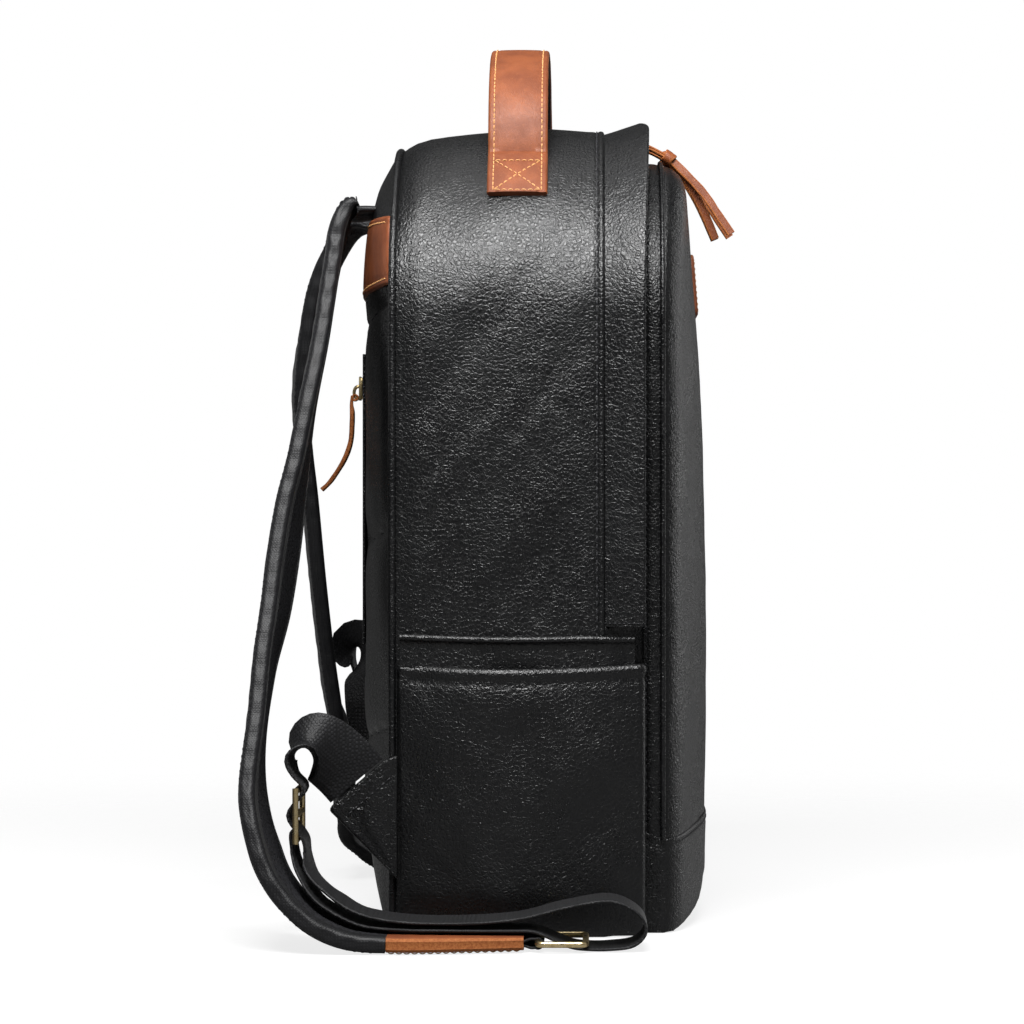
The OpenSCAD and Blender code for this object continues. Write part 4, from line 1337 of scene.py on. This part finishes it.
def pull(x, lean):
    """The lace looped round the slider's pin, tied once and left with two loose tails."""
    parts = []
    loop = []
    for k in range(-9, 10):
        a = math.radians(10 * k)
        loop.append((x, PIN_Y + 1.9 * math.cos(a), PIN_Z + 0.3 + 1.9 * math.sin(a), -1, 0, 0, 3.2, 1.1))
    for half, drop in ((1, 0.7), (-1, -0.7)):
        rows = [(x, PIN_Y + 0.2, PIN_Z + 0.3 + half * 1.9, -1, 0, 0, 3.2, 1.2)]
        rows += [(x + 0.4 * half, PIN_Y + p - 0.2, PIN_Z + q + drop, -1, 0, 0, w * 0.92, 1.25)
                 for p, q, w in PULL_LOOP[1:]]
        parts.append(lace("strand", rows, 2.0 + half))
    parts.append(lace("eye", loop[::-1], 5.0))
    for tail, side, seed in ((PULL_TAIL_A, 1, 3.0), (PULL_TAIL_B, -1, 7.0)):
        span = 26 if side > 0 else 34
        rows = []
        for p, q in tail:
            beside = x + side * (1.1 - lean * (p + 22) / span)
            rows.append((beside, PIN_Y + p, PIN_Z + q, 0.12 * side, 0.8, -0.6, 4.6, 2.0))
        parts.append(lace("tail", rows, seed))
    centre = np.array([x, PIN_Y - 21.9, PIN_Z - 6.7])
    for tilt, grow, shift in ((24, 1.0, 0.0), (-30, 0.94, 0.4)):
        rows = []
        axis = np.array([0.0, -math.cos(math.radians(34)), -math.sin(math.radians(34))])
        rise = np.array([0.0, -axis[2], axis[1]])
        for k in range(15):
            a = 2 * math.pi * k / 13
            offset = np.array([1.0, 0, 0]) * math.cos(a) * 4.1 * grow + rise * math.sin(a) * 3.0 * grow
            offset = offset + axis * (math.sin(a + shift) * math.tan(math.radians(tilt)) * 2.6)
            rows.append((*(centre + offset), *axis, 4.6, 1.5))
        parts.append(lace("wrap", rows, 11.0 + tilt))
    core = [centre - axis * 3.2, centre - axis, centre + axis, centre + axis * 3.2]
    parts.append(tube("core", core, 2.5, TAN))
    return join("pull_leather_" + ("left" if x < -40 else "right"), parts)


# ---- Back pocket zip ----
BACK_ZIP_X = -50.0
BACK_ZIP_Z = (150.0, 302.0)
BACK_PIN_Y = math.sqrt(BACK_R**2 - BACK_ZIP_X**2) + BACK_Y - BACK_R + 3.4


def back_zip():
    """The back pocket's zip: tape and teeth between two sewn leather lips."""
    low, high = BACK_ZIP_Z
    zs = steps_to(low - 2, high + 2, 3.0)

    def strip(x0, x1, out, thick, material, seed):
        x = (x0 + x1) / 2
        rows = [(x, back_face(x, z) + out, z, 1, -0.11, 0, x1 - x0, thick) for z in zs]

        def section(w, t, run, length):
            w += 0.2 * wave(run, seed, 0, 14.0, seed)
            return flat_section(w, t, 0.1, grooves=(2.2,), depth=0.25, steps=10)

        return ribbon_mesh("strip", ribbon_frames(rows[::-1], 1), section, material)

    tape = strip(-58, -42, 0.2, 0.8, ZIP_TAPE, 1.0)
    tape.name = "back_zip_cloth"
    left, right = strip(-66.5, -53.6, 1.0, 1.6, BLACK, 2.0), strip(-46.4, -33.5, 0.9, 1.6, BLACK, 5.0)
    lips = join("back_zip_lips", [left, right])
    teeth = []
    y = back_face(BACK_ZIP_X, 200) + 1.1
    for side in (-1, 1):
        z = low + 1 + (0 if side < 0 else 1.1)
        while z < high - 1:
            teeth.append([(BACK_ZIP_X + side * 2.4, y, z), (BACK_ZIP_X - side * 0.6, y, z)])
            z += 2.2
    verts, faces = [], []
    for a, b in teeth:
        start = len(verts)
        for x, grow in ((a[0], 0.45), (b[0] * 0.8 + a[0] * 0.2, 0.62), (b[0], 0.5)):
            for k in range(4):
                w = math.pi / 4 + math.pi / 2 * k
                verts.append((x, y + grow * math.cos(w) * 1.2, a[2] + grow * math.sin(w)))
        faces += tooth_faces(start, 3)
    chain = add_mesh("back_zip_teeth", verts, faces, BRASS, sharp=30)
    sewing = []
    for x in (-64.2, -55.6, -44.4, -35.6):
        line = [(x, back_face(x, z) + 1.75, z) for z in zs[1:-1]]
        sewing.append(stitches("row", line, (-0.11, 1, 0), 3.6, 2.7, 0.34, BLACK_THREAD))
    return tape, lips, chain, join("back_zip_stitches", sewing)


def back_slider():
    """The back pocket's brass slider."""
    def to_world(u, v, h):
        return np.array([BACK_ZIP_X + v, BACK_PIN_Y - 3.2 + h, 286.0 - u])

    return zip_slider("back_slider_brass", to_world, (2.2, 4.4), 13.0, 8.4)


def back_pull():
    """The back slider's leather tab and the eye that holds it."""
    pin = (BACK_ZIP_X, BACK_PIN_Y + 2.0, 281.0)
    rows = [(pin[0], pin[1] + 1.4, pin[2] + 1.2, -1, 0, 0, 3.0, 1.4),
            (pin[0], pin[1] + 1.9, pin[2] - 3.5, -1, 0, 0, 4.6, 1.6)]
    for dy, dz in ((1.5, -8), (1.6, -14), (2.4, -24), (6, -34), (13, -45), (18, -50)):
        rows.append((pin[0], pin[1] + dy, pin[2] + dz, -1, 0, 0, 7.0 if dz < -40 else 11.0, 2.2))
    eye = []
    for k in range(19):
        a = math.radians(20 * k)
        eye.append((pin[0], pin[1] + 1.5 * math.cos(a), pin[2] + 1.5 * math.sin(a), -1, 0, 0, 3.0, 1.1))
    return join("back_pull_leather", [lace("tab", rows, 4.0), lace("eye", eye, 6.0)])


place(zip_tape("zip_tape_rear", 0.3, ZIP_MID - 1.0), "bag", "zip_tape", "rear_zip_tape")
place(zip_teeth("zip_teeth_rear", -1), "bag", "brass")
over_fold(zip_tape("zip_tape_front", ZIP_MID + 1.0, ZIP_LEN - 0.2), "zip_tape", "front_zip_tape")
over_fold(zip_teeth("zip_teeth_front", 1), "brass")
place(main_slider(-45.0), "slider_left", "brass", "zip_slider_left")
place(main_slider(-29.0), "slider_right", "brass", "zip_slider_right")
place(pull(-45.0, 4), "pull_left", "tan_leather", "zip_pull_left")
place(pull(-29.0, -4), "pull_right", "tan_leather", "zip_pull_right")
tape, lips, chain, sewing = back_zip()
place(tape, "bag", "zip_tape", "back_zip_tape")
place(lips, "bag", "black_leather")
place(chain, "bag", "brass")
place(sewing, "bag", "black_leather")
place(back_slider(), "back_slider", "brass", "back_zip_slider")
place(back_pull(), "back_pull", "tan_leather", "back_zip_pull")


# ---- Straps ----
PAD_W = 60.0
PAD_T = 8.0
# The straps' middle lines: x, y, z, then where they differ the lean and turn, the width and the thickness.
PAD_PLAN = {
    "left": [
        (-60, 98, 379.8, 0, 0, PAD_W, 4), (-61, 103, 379, 0, 0, PAD_W, 6), (-64, 108, 368, -0.04, 0),
        (-68, 110.5, 352, -0.07, 0), (-74, 113, 333, -0.07, 0), (-82, 116, 310, -0.07, 0),
        (-94, 121.5, 276, -0.06, 0), (-105, 126, 242), (-115, 130, 214, 0.07, 0),
        (-130, 135, 174, 0.07, 0), (-144, 140, 142), (-158, 142.5, 110, -0.05, 0), (-172, 142.5, 80),
        (-184, 138, 56, 0.04, 0), (-192, 129, 34, 0.03, 0), (-196, 113, 16), (-196, 93, 6.6),
        (-196, 73.3, 4.6),
    ],
    "right": [
        (60, 98, 381.5, 0, 0, PAD_W, 4), (61, 104, 382, 0, 0, PAD_W, 6), (66, 115, 374), (72, 128, 348),
        (78, 137, 313, -0.1, 0), (84, 140, 284, -0.1, 0), (88, 138, 255, -0.1, 0),
        (92, 135, 226, -0.1, 0), (97, 131, 180, -0.1, 0), (103, 127, 140, -0.1, 0),
        (108, 123, 108, -0.1, 0), (117, 119, 84, 0, 0.1), (132, 117, 60, 0, 0.2), (156, 116, 38, 0, 0.2),
        (182, 108, 20, 0, 0.1), (202, 92, 9, 0, -0.05), (204, 79, 5.1), (204, 73, 4.7), (204, 68.6, 4.6),
    ],
}
TIP_PLAN = {
    "left": [
        (-196, 73, 4.6), (-196, 55, 4.5), (-196, 5, 4.5, 0, 0, 44, PAD_T - 1),
    ],
    "right": [
        (204, 68, 4.6), (204, 50, 4.5), (204, 0, 4.5, 0, 0, 44, PAD_T - 1),
    ],
}
# The webbing's middle lines: x, y, z, and the direction across it where it isn't along x.
WEB_PLAN = {
    "left": [
        (-153, 92, 81, 0, -0.76, 0.65), (-156, 98, 88, 0.05, -0.75, 0.65),
        (-161, 105, 95, 0.3, -0.68, 0.62), (-168, 112, 100, 0.65, -0.5, 0.5),
        (-172, 119, 100, 0.88, -0.3, 0.3), (-174, 124, 94, 0.98, -0.1, 0.1), (-174, 122, 86),
        (-174, 116.8, 78.4), (-174, 124.4, 66), (-174, 116.8, 53.6), (-174, 115.5, 45), (-177, 112, 36),
        (-184, 103, 27.5), (-192, 87, 18.5), (-195, 66, 14.5), (-196, 36, 14), (-196, 8, 16),
        (-196, -16, 22), (-196, -38, 25), (-196, -52, 19), (-196, -56, 10), (-196, -50, 3.2),
        (-196, -38, 1.4), (-196, -26, 1.3), (-196, -18, 2.5), (-196, -10, 6), (-196, 0, 9.8),
        (-196, 12, 10.2), (-196, 44, 10.4), (-195, 68, 10.8), (-192, 88, 13.2), (-186, 106, 22),
        (-180, 116, 33), (-175, 121, 44), (-174, 122.8, 53.6), (-174, 122.6, 58),
    ],
    "right": [
        (153, 92, 81, 0, 0.76, -0.65), (156, 98, 88, 0, 0.76, -0.65), (157.5, 101, 99, 0, 0.76, -0.65),
        (158.5, 102.5, 112, 0.05, 0.75, -0.65), (161, 104.5, 125, 0.3, 0.7, -0.62),
        (168, 108, 135, 0.7, 0.5, -0.45), (178, 113, 138, 0.95, 0.15, -0.15), (184, 116, 135),
        (186, 116, 127), (186, 113, 118), (186, 107.8, 110.4), (186, 115.4, 98), (186, 107.8, 85.6),
        (186.5, 106.5, 77), (188, 101, 64), (191, 94, 48), (196, 83, 32), (201.5, 70, 20.5),
        (204, 52, 15.5), (204, 30, 14), (204, 2, 16), (204, -21, 22), (204, -43, 25), (204, -57, 19),
        (204, -61, 10), (204, -55, 3.2), (204, -43, 1.4), (204, -31, 1.3), (204, -23, 2.5),
        (204, -15, 6), (204, -5, 9.8), (204, 8, 10.2), (204, 40, 10.4), (203, 61, 11), (200.5, 78, 15.5),
        (196, 91, 27), (191, 101, 46), (187.5, 107.5, 62), (186.2, 112.3, 76), (186, 113.8, 85.6),
        (186, 113.6, 90),
    ],
}
RING_AT = {"left": (-196.0, -14.0, 4.2), "right": (204.0, -19.0, 4.2)}
# Where the webbing starts to leave the bag, in metres, and how far behind the ring it is wholly the strap's.
WEB_HELD = {"left": (-0.174, 0.112, 0.045), "right": (0.190, 0.098, 0.055)}
WEB_W = 36.0
WEB_T = 1.6
QUILT_PITCH = 13.0


def strap_rows(plan):
    """Full rows of a strap's middle line: place, direction across, width and thickness."""
    usual = (0, 0, PAD_W, PAD_T)
    return [(*row[:3], -1, *row[3:], *usual[len(row) - 3:]) for row in plan]


def pad_section(width, thick, run, length):
    """A padded strap: a crowned face with stitch grooves, puckered sides and a flatter mesh side."""
    half = width / 2
    ends = float(smoothstep(run / 14.0) * smoothstep((length - run) / 10.0))
    pinch = 0.5 + 0.5 * math.cos(2 * math.pi * run / QUILT_PITCH + 2.0 * wave(run, 0, 0, 40.0, 3.0))
    points = []
    for k in range(21):
        a = (half - 2.2) * (2 * k / 20 - 1)
        b = thick / 2 + ends * (0.9 * (1 - (a / half) ** 4) - 1.3 * channel(half - 6.5 - abs(a), 1.1))
        b += ends * 0.35 * pinch * channel(half - 9.5 - abs(a), 3.0)
        b += ends * 0.25 * wave(run, a, 0, 11.0, 4.0)
        points.append((a, b))
    side = []
    for k in range(1, 8):
        s = k / 8
        b = thick / 2 * (1 - 2 * s)
        a = half - 2.2 * abs(2 * s - 1) ** 3 - ends * 1.1 * pinch * math.sin(math.pi * s) ** 2
        side.append((a + 0.15 * wave(run, s * 5, 1, 4.0, 2.0), b))
    under = []
    for k in range(21):
        a = (half - 2.2) * (1 - 2 * k / 20)
        b = -thick / 2 - ends * (0.35 * (1 - (a / half) ** 4) - 0.9 * channel(half - 6.5 - abs(a), 1.1))
        under.append((a, b))
    return points + side + under + [(-a, b) for a, b in side[::-1]]


def paint_rings(obj, count, spans, materials):
    """Sets materials by the place of each face round the section."""
    for material in materials:
        obj.data.materials.append(material)
    for poly in obj.data.polygons:
        j = poly.index % count
        for (first, last), slot in spans:
            if first <= j <= last:
                poly.material_index = slot


def strap_pad(side):
    """A shoulder strap: cloth over foam with mesh beneath, and its stitching."""
    rows = strap_rows(PAD_PLAN[side])
    first = rows[0]
    root = [(first[0], first[1] - 12.0, first[2] + 0.6, *first[3:7], 3.2),
            (first[0], first[1] - 6.0, first[2] + 0.6, *first[3:7], 3.4)]
    frames = ribbon_frames(root + rows, 9)
    obj = ribbon_mesh("strap_pad_" + side, frames, pad_section, CLOTH, sharp=70)
    paint_rings(obj, 56, [((31, 45), 1)], [MESH])
    rows = []
    for a, b in ((PAD_W / 2 - 2.0, PAD_T / 2 - 0.2), (PAD_W / 2 - 6.5, PAD_T / 2 - 0.2)):
        for sign in (-1, 1):
            line = [(c + w * a * sign + u * b, unit(u + w * sign * (0.8 if a > 25 else 0.0)))
                    for c, w, u, _, _, run in frames if 12 < run < frames[-1][5] - 4]
            rows.append(stitches("row", *zip(*line), 4.0, 2.9, 0.42, BLACK_THREAD))
    return obj, join("strap_stitches_" + side, rows)


def strap_tip(side):
    """The tan leather tip, two layers sewn round the end of the pad."""
    frames = ribbon_frames(strap_rows(TIP_PLAN[side]), 18)

    def section(width, thick, run, length):
        w = width + 0.4 * wave(run, 2, 0, 12.0, 1.0)
        points = flat_section(w, thick, 0.3, grooves=(4.0,), depth=0.4, steps=18)
        nick = [0.8 * channel(b, 0.8) if abs(a) > w / 2 - 2.5 else 0.0 for a, b in points]
        return [(a - math.copysign(n, a), b) for (a, b), n in zip(points, nick)]

    obj = ribbon_mesh("strap_tip_leather_" + side, frames, section, TAN)
    edge_paint(obj, TAN_EDGE, (1, 0, 0), 0.6)
    line = [(c + w * (width / 2 - 4.0) * s + u * (thick / 2 + 0.1), u)
            for s in (1, -1) for c, w, u, width, thick, _ in (frames[1:-1] if s > 0 else frames[1:-1][::-1])]
    half = len(line) // 2
    rows = [stitches("row", *zip(*part), 4.0, 3.0, 0.42, TAN_THREAD) for part in (line[:half], line[half:])]
    return obj, join("strap_tip_stitches_" + side, rows)


def webbing(side):
    """The webbing from the anchor tab through the slide to the ring and back to the slide."""
    rows = [(*row, *(1, 0, 0)[len(row) - 3:], WEB_W, WEB_T) for row in WEB_PLAN[side]]

    def section(width, thick, run, length):
        points = flat_section(width - 0.6 + 0.3 * wave(run, 0, 0, 25.0, 2.0), thick, 0.0, grooves=(2.6,),
                              depth=0.22, steps=18)
        return [(a, b + 0.25 * wave(run, a, 0, 22.0, 6.0)) for a, b in points]

    return ribbon_mesh("webbing_band_" + side, ribbon_frames(rows, 5), section, WEBBING)


def ring_keeper(side):
    """A loop of webbing round the ring's bar, sewn into the tip."""
    x, y, z = RING_AT[side]
    y += 12.0
    rows = [(x, y + 7.0, z + 1.0, -1, 0, 0, 34, 1.3), (x, y + 3.6, z + 2.2, -1, 0, 0, 34, 1.3)]
    for k in range(9):
        a = math.radians(60 + 30 * k)
        rows.append((x, y + 2.5 * math.cos(a), z + 2.5 * math.sin(a), -1, 0, 0, 34, 1.3))
    rows += [(x, y + 3.6, z - 2.2, -1, 0, 0, 34, 1.3), (x, y + 7.0, z - 1.0, -1, 0, 0, 34, 1.3)]

    def section(w, t, run, length):
        return flat_section(w, t, 0.0, grooves=(2.4,), depth=0.2, steps=16)

    return ribbon_mesh("keeper_webbing_" + side, ribbon_frames(rows, 3), section, WEBBING)


TAB_OUTLINE = [(71.0, 30.0), (106.0, 65.5), (105.0, 68.0), (78.0, 91.5), (71.0, 94.0)]


def anchor_tab(side):
    """The folded leather tab that holds the webbing: two layers, a turned mouth and two rows of stitches."""
    sign = -1 if side == "left" else 1
    outline = []
    n = len(TAB_OUTLINE)
    for i in range(n):
        before = np.array(TAB_OUTLINE[i - 1])
        here = np.array(TAB_OUTLINE[i])
        after = np.array(TAB_OUTLINE[(i + 1) % n])
        cut_in = here + (before - here) / np.linalg.norm(before - here) * 1.2
        cut_out = here + (after - here) / np.linalg.norm(after - here) * 1.2
        outline += [cut_in, here * 0.5 + (cut_in + cut_out) * 0.25]
        steps = max(2, int(np.linalg.norm(after - here) / 3.0))
        end = after + (here - after) / np.linalg.norm(here - after) * 1.2
        outline += [cut_out + (end - cut_out) * k / steps for k in range(steps)]
    middle = np.array([88.0, 66.0])
    mouth_a, mouth_b = np.array([105.0, 68.0]), np.array([78.0, 91.5])
    mouth = unit(mouth_b - mouth_a)
    inward = np.array([-mouth[1], mouth[0]])
    if np.dot(middle - mouth_a, inward) < 0:
        inward = -inward
    rings = []
    for scale, out in ((0.0, 0.0), (0.0, 0.9), (0.35, 1.6), (1.0, 1.9), (2.2, 2.0), (4.5, 1.75), (7.5, 1.95),
                       (11.0, 2.2), (15.0, 2.5), (19.0, 2.6)):
        ring = []
        for p in outline:
            d = middle - p
            far = np.linalg.norm(d)
            q = p + d / far * min(scale, far * 0.96)
            lift = out + (0.35 * wave(q[0], 3, q[1], 9.0, 6.0) if scale > 2 else 0.0)
            gap = np.dot(q - mouth_a, inward)
            lift += 0.5 * channel(gap - 2.5, 2.5) - 0.5 * channel(gap - 9.0, 1.2)
            ring.append((sign * (152.6 + lift), q[0], q[1]))
        rings.append(ring)
    inner = [(sign * 151.2, p[0], p[1]) for p in outline]
    obj = loft("anchor_tab_leather_" + side, [inner] + rings, BLACK, sharp=60)
    rows = []
    for gap in (3.2, 9.0):
        a = mouth_a + inward * gap + mouth * 3
        b = mouth_b + inward * gap - mouth * 3
        line = [(sign * (152.6 + 2.1), *(a + (b - a) * t)) for t in steps_to(0.0, 1.0, 0.1)]
        rows.append(stitches("row", line, (sign, 0, 0), 3.6, 2.7, 0.42, BLACK_THREAD))
    return obj, join("anchor_tab_stitches_" + side, rows)


def rest_on_floor(*pieces):
    """Flattens what would dip below the floor, as a soft strap does under its own weight."""
    for obj in pieces:
        for vertex in obj.data.vertices:
            vertex.co.z = max(vertex.co.z, 0.0)


def strap(side):
    """Makes one strap's pieces: its tip, tip stitches and keeper go on the strap's body, its anchor tab on
    the bag, and the pad and webbing stay where they are made.
    """
    body = "strap_" + side
    pad, sewing = strap_pad(side)
    rest_on_floor(pad, sewing)
    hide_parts("strap_cover_" + side, "strap_foam_" + side, "strap_mesh_" + side)
    x, y, z = PAD_PLAN[side][0][:3]
    for obj in (pad, sewing):
        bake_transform(obj)
    tip, sewing = strap_tip(side)
    rest_on_floor(tip, sewing)
    place(tip, body, "tan_leather", "strap_tip_" + side)
    place(sewing, body, "tan_leather")
    place(ring_keeper(side), body, "webbing", "ring_keeper_" + side)
    band_piece = webbing(side)
    rest_on_floor(band_piece)
    x, y, z = RING_AT[side]
    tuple(WEB_HELD[side])
    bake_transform(band_piece)
    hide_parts("webbing_" + side)
    tab, sewing = anchor_tab(side)
    place(tab, "bag", "black_leather", "anchor_tab_" + side)
    place(sewing, "bag", "black_leather")


strap("left")
strap("right")


# ---- Inside ----
SLEEVE_TOP = 290.0
SLEEVE_HALF = 116.0
SLEEVE_PITCH = 38.67


def sleeve_plan():
    """Half-way line of the sleeve's wall seen from above: place, outward direction and half thickness."""
    rows = []
    for y in np.linspace(61.5, 50.0, 6):
        rows.append((-126.0, y, -1.0, 0.0, 2.0))
    for a in np.linspace(0.0, math.pi / 2, 9)[1:]:
        rows.append((-SLEEVE_HALF - 10 * math.cos(a), 50.0 - 10 * math.sin(a), -math.cos(a), -math.sin(a),
                     2.0 + 2.0 * a / (math.pi / 2)))
    for x in np.linspace(-SLEEVE_HALF, SLEEVE_HALF, 97)[1:-1]:
        rows.append((x, 40.0, 0.0, -1.0, 4.0))
    return rows + [(-x, y, -dx, dy, t) for x, y, dx, dy, t in rows[:14][::-1]]


def sleeve():
    """The padded laptop sleeve: a wall of foam between two cloths, quilted in upright channels."""
    plan = sleeve_plan()
    rings = []
    for z in np.concatenate([np.linspace(5.4, 12, 5), np.linspace(18, 276, 44), np.linspace(279, 289, 6)]):
        ends = float(smoothstep((z - 5) / 14.0) * smoothstep((289.6 - z) / 16.0))
        outer, inner = [], []
        for x, y, dx, dy, t in plan:
            flat = 1.0 if dy < -0.99 else 0.25
            quilt = abs(math.sin(math.pi * (x + SLEEVE_HALF) / SLEEVE_PITCH)) ** 0.55
            puff = flat * ends * (1.5 * quilt - 0.5) + 0.25 * wave(x, y, z, 40.0, 6.4)
            half = t * (0.75 + 0.25 * ends)
            outer.append((x + dx * (half + puff), y + dy * (half + puff), z))
            inner.append((x - dx * (half + 0.4 * puff), y - dy * (half + 0.4 * puff), z))
        rings.append(outer + inner[::-1])
    return loft("laptop_sleeve_pad", rings, LINING)


def sleeve_binding():
    """Woven tape folded over the sleeve's top edge."""
    rings = []
    for x, y, dx, dy, t in sleeve_plan():
        half = t * 0.8 + 1.0
        ring = []
        for k in range(14):
            a = 2 * math.pi * k / 14
            side = half * math.copysign(abs(math.cos(a)) ** 0.6, math.cos(a))
            rise = 6.5 * math.copysign(abs(math.sin(a)) ** 0.5, math.sin(a))
            ring.append((x + dx * side, y + dy * side, SLEEVE_TOP - 5.5 + rise))
        rings.append(ring)
    return loft("sleeve_binding", rings, WEBBING)


def sleeve_stitches():
    """The rows on the laptop sleeve's binding and channels."""
    points, ups = [], []
    for x, y, dx, dy, t in sleeve_plan():
        half = t * 0.8 + 1.0
        points.append((x + dx * half, y + dy * half, SLEEVE_TOP - 9.5))
        ups.append((dx, dy, 0.0))
    rows = [stitches("row", points, ups, 4.0, 3.0, 0.4, BLACK_THREAD)]
    for k in range(7):
        x = -SLEEVE_HALF + SLEEVE_PITCH * k
        line = [(x, 36.45, z) for z in np.linspace(14, 274, 60)]
        rows.append(stitches("row", line, (0, -1, 0), 4.4, 3.2, 0.4, BLACK_THREAD))
    return join("sleeve_stitches", rows)


def organiser():
    """The cloth pocket inside the front section, gathered a little under its hem."""
    r = FRONT_R - 2.4
    verts = []
    columns = 97
    levels = np.concatenate([np.linspace(170.0, 318.0, 60), np.linspace(320.0, 329.5, 8)])
    for z in levels:
        reach = CORNER_X + (r if z <= CORNER_Z else math.sqrt(r * r - (z - CORNER_Z) ** 2))
        for i in range(columns):
            t = -1.0 + 2.0 * i / (columns - 1)
            x = t * reach
            hem = 0.55 * float(smoothstep((z - 315.0) / 3.0))
            folds = 0.8 * wave(x, 0.0, z * 0.25, 26.0, 2.2) + 0.5 * wave(x, 3.0, z, 60.0, 9.1)
            gather = (1 - t * t) ** 0.5 * folds
            belly = 1.1 * (1 - t * t) * float(smoothstep((z - 172.0) / 40.0))
            verts.append((x, -61.0 + belly + gather * 0.55 + hem, z))
    return sheet_piece("organiser_cloth", verts, grid_faces(len(levels), columns), LINING, None, 1.1)


def organiser_seams():
    """The rows along the organiser's hem and its two dividers."""
    rows = []
    for z in (317.0, 326.5):
        line = [(x, -59.3, z) for x in np.linspace(-118.0, 118.0, 80)]
        rows.append(stitches("row", line, (0, 1, 0), 4.0, 3.0, 0.4, BLACK_THREAD))
    for x in (-42.0, 42.0):
        line = [(x, -59.9, z) for z in np.linspace(176, 312, 40)]
        rows.append(stitches("row", line, (0, 1, 0), 4.0, 3.0, 0.4, BLACK_THREAD))
    return join("organiser_stitches", rows)


def base_lining():
    """The stiff board in the bottom, wrapped in lining cloth with soft rounded edges."""
    outline = [(-145.5, 58.0), (-145.5, -33.0), (-120.0, -51.0),
               (120.0, -51.0), (145.5, -33.0), (145.5, 58.0)]
    rings = []
    for z, inset in ((3.0, 0.8), (3.5, 0.1), (4.4, 0.0), (5.2, 0.7), (5.4, 2.4), (5.25, 40.0)):
        ring = []
        for k in range(6):
            a, b = outline[k], outline[(k + 1) % 6]
            for i in range(16):
                t = i / 16
                x, y = a[0] + (b[0] - a[0]) * t, a[1] + (b[1] - a[1]) * t
                ring.append((x * (1 - inset / 140.0), 3.5 + (y - 3.5) * (1 - inset / 54.0), z))
        rings.append(ring)
    return loft("base_board_cover", rings, LINING)


laptop_pad = place(sleeve(), "bag", "lining", "laptop_sleeve", "laptop_foam")
place(sleeve_binding(), "bag", "webbing")
place(sleeve_stitches(), "bag", "black_leather")
place(organiser(), "front_section", "lining", "organiser_pocket")
place(organiser_seams(), "front_section", "lining")
place(base_lining(), "bag", "lining", "base_board")


# ---- Stage ----
FLOOR_Z = -0.0003
FLOOR_GLOW = 0.80
FLOOR_FADE = (0.45, 1.1)
AMBIENT = 0.08


def studio():
    """A white room: a pale floor, a key above the camera's side and weaker fills round the bag."""
    world = bpy.data.worlds.new("studio")
    bpy.context.scene.world = world
    world.use_nodes = True
    tree = world.node_tree
    back = tree.nodes["Background"]
    back.inputs["Color"].default_value = (1.0, 1.0, 1.0, 1.0)
    seen = tree.nodes.new("ShaderNodeLightPath")
    level = tree.nodes.new("ShaderNodeMapRange")
    level.inputs[3].default_value = AMBIENT
    level.inputs[4].default_value = 1.0
    tree.links.new(seen.outputs["Is Camera Ray"], level.inputs[0])
    tree.links.new(level.outputs[0], back.inputs["Strength"])

    mesh = bpy.data.meshes.new("floor")
    mesh.from_pydata([(-9, -9, 0), (9, -9, 0), (9, 9, 0), (-9, 9, 0)], [], [(0, 1, 2, 3)])
    floor = bpy.data.objects.new("floor", mesh)
    bpy.context.scene.collection.objects.link(floor)
    floor.location.z = FLOOR_Z
    paint = Shader("floor", 0.6, specular=0.2)
    paint.colour((0.24, 0.24, 0.24))
    paint.out.inputs["Emission Color"].default_value = (1.0, 1.0, 1.0, 1.0)
    glow = paint.math("MULTIPLY", paint.node("ShaderNodeLightPath").outputs["Is Camera Ray"], FLOOR_GLOW)
    paint.tree.links.new(glow, paint.out.inputs["Emission Strength"])
    far = paint.node("ShaderNodeVectorMath", {0: paint.coords}, operation="LENGTH").outputs["Value"]
    clear = paint.node("ShaderNodeBsdfTransparent")
    blend = paint.node("ShaderNodeMixShader", {0: paint.span(far, *FLOOR_FADE)})
    paint.tree.links.new(paint.out.outputs[0], blend.inputs[1])
    paint.tree.links.new(clear.outputs[0], blend.inputs[2])
    paint.tree.links.new(blend.outputs[0], paint.tree.nodes["Material Output"].inputs["Surface"])
    mesh.materials.append(paint.material)

    def area(name, power, size, size_y, at, aim):
        light = bpy.data.lights.new(name, "AREA")
        light.shape = "RECTANGLE"
        light.size = size
        light.size_y = size_y
        light.energy = power
        lamp = bpy.data.objects.new(name, light)
        bpy.context.scene.collection.objects.link(lamp)
        lamp.location = at
        lamp.rotation_euler = (Vector(aim) - Vector(at)).to_track_quat("-Z", "Y").to_euler()

    area("key", 20.0, 0.7, 0.4, (-0.74, 0.04, 1.00), (0.0, 0.0, 0.30))
    area("top", 6.0, 1.2, 1.2, (0.1, 0.1, 1.9), (0.0, 0.0, 0.2))
    area("front_fill", 1.5, 0.8, 1.2, (-0.5, -1.7, 0.9), (0.0, 0.0, 0.2))
    area("front_rim", 4.0, 0.5, 1.3, (1.1, -1.25, 0.6), (0.0, 0.0, 0.2))
    area("back_rim", 2.5, 0.5, 1.3, (0.6, 1.6, 0.7), (0.0, 0.0, 0.2))


def photo_camera():
    """A long lens square to the bag's left side, with the shift of the photograph's framing."""
    data = bpy.data.cameras.new("camera")
    data.lens = 126.25
    data.sensor_width = 36.0
    data.shift_x = -0.078125
    data.clip_end = 50.0
    camera = bpy.data.objects.new("camera", data)
    bpy.context.scene.collection.objects.link(camera)
    camera.location = (-2.0, -0.029, 0.219)
    camera.rotation_euler = (math.radians(90), 0.0, math.radians(-90))
    bpy.context.scene.camera = camera


studio()
photo_camera()
scene = bpy.context.scene
scene.view_settings.view_transform = "Standard"
scene.view_settings.look = "None"
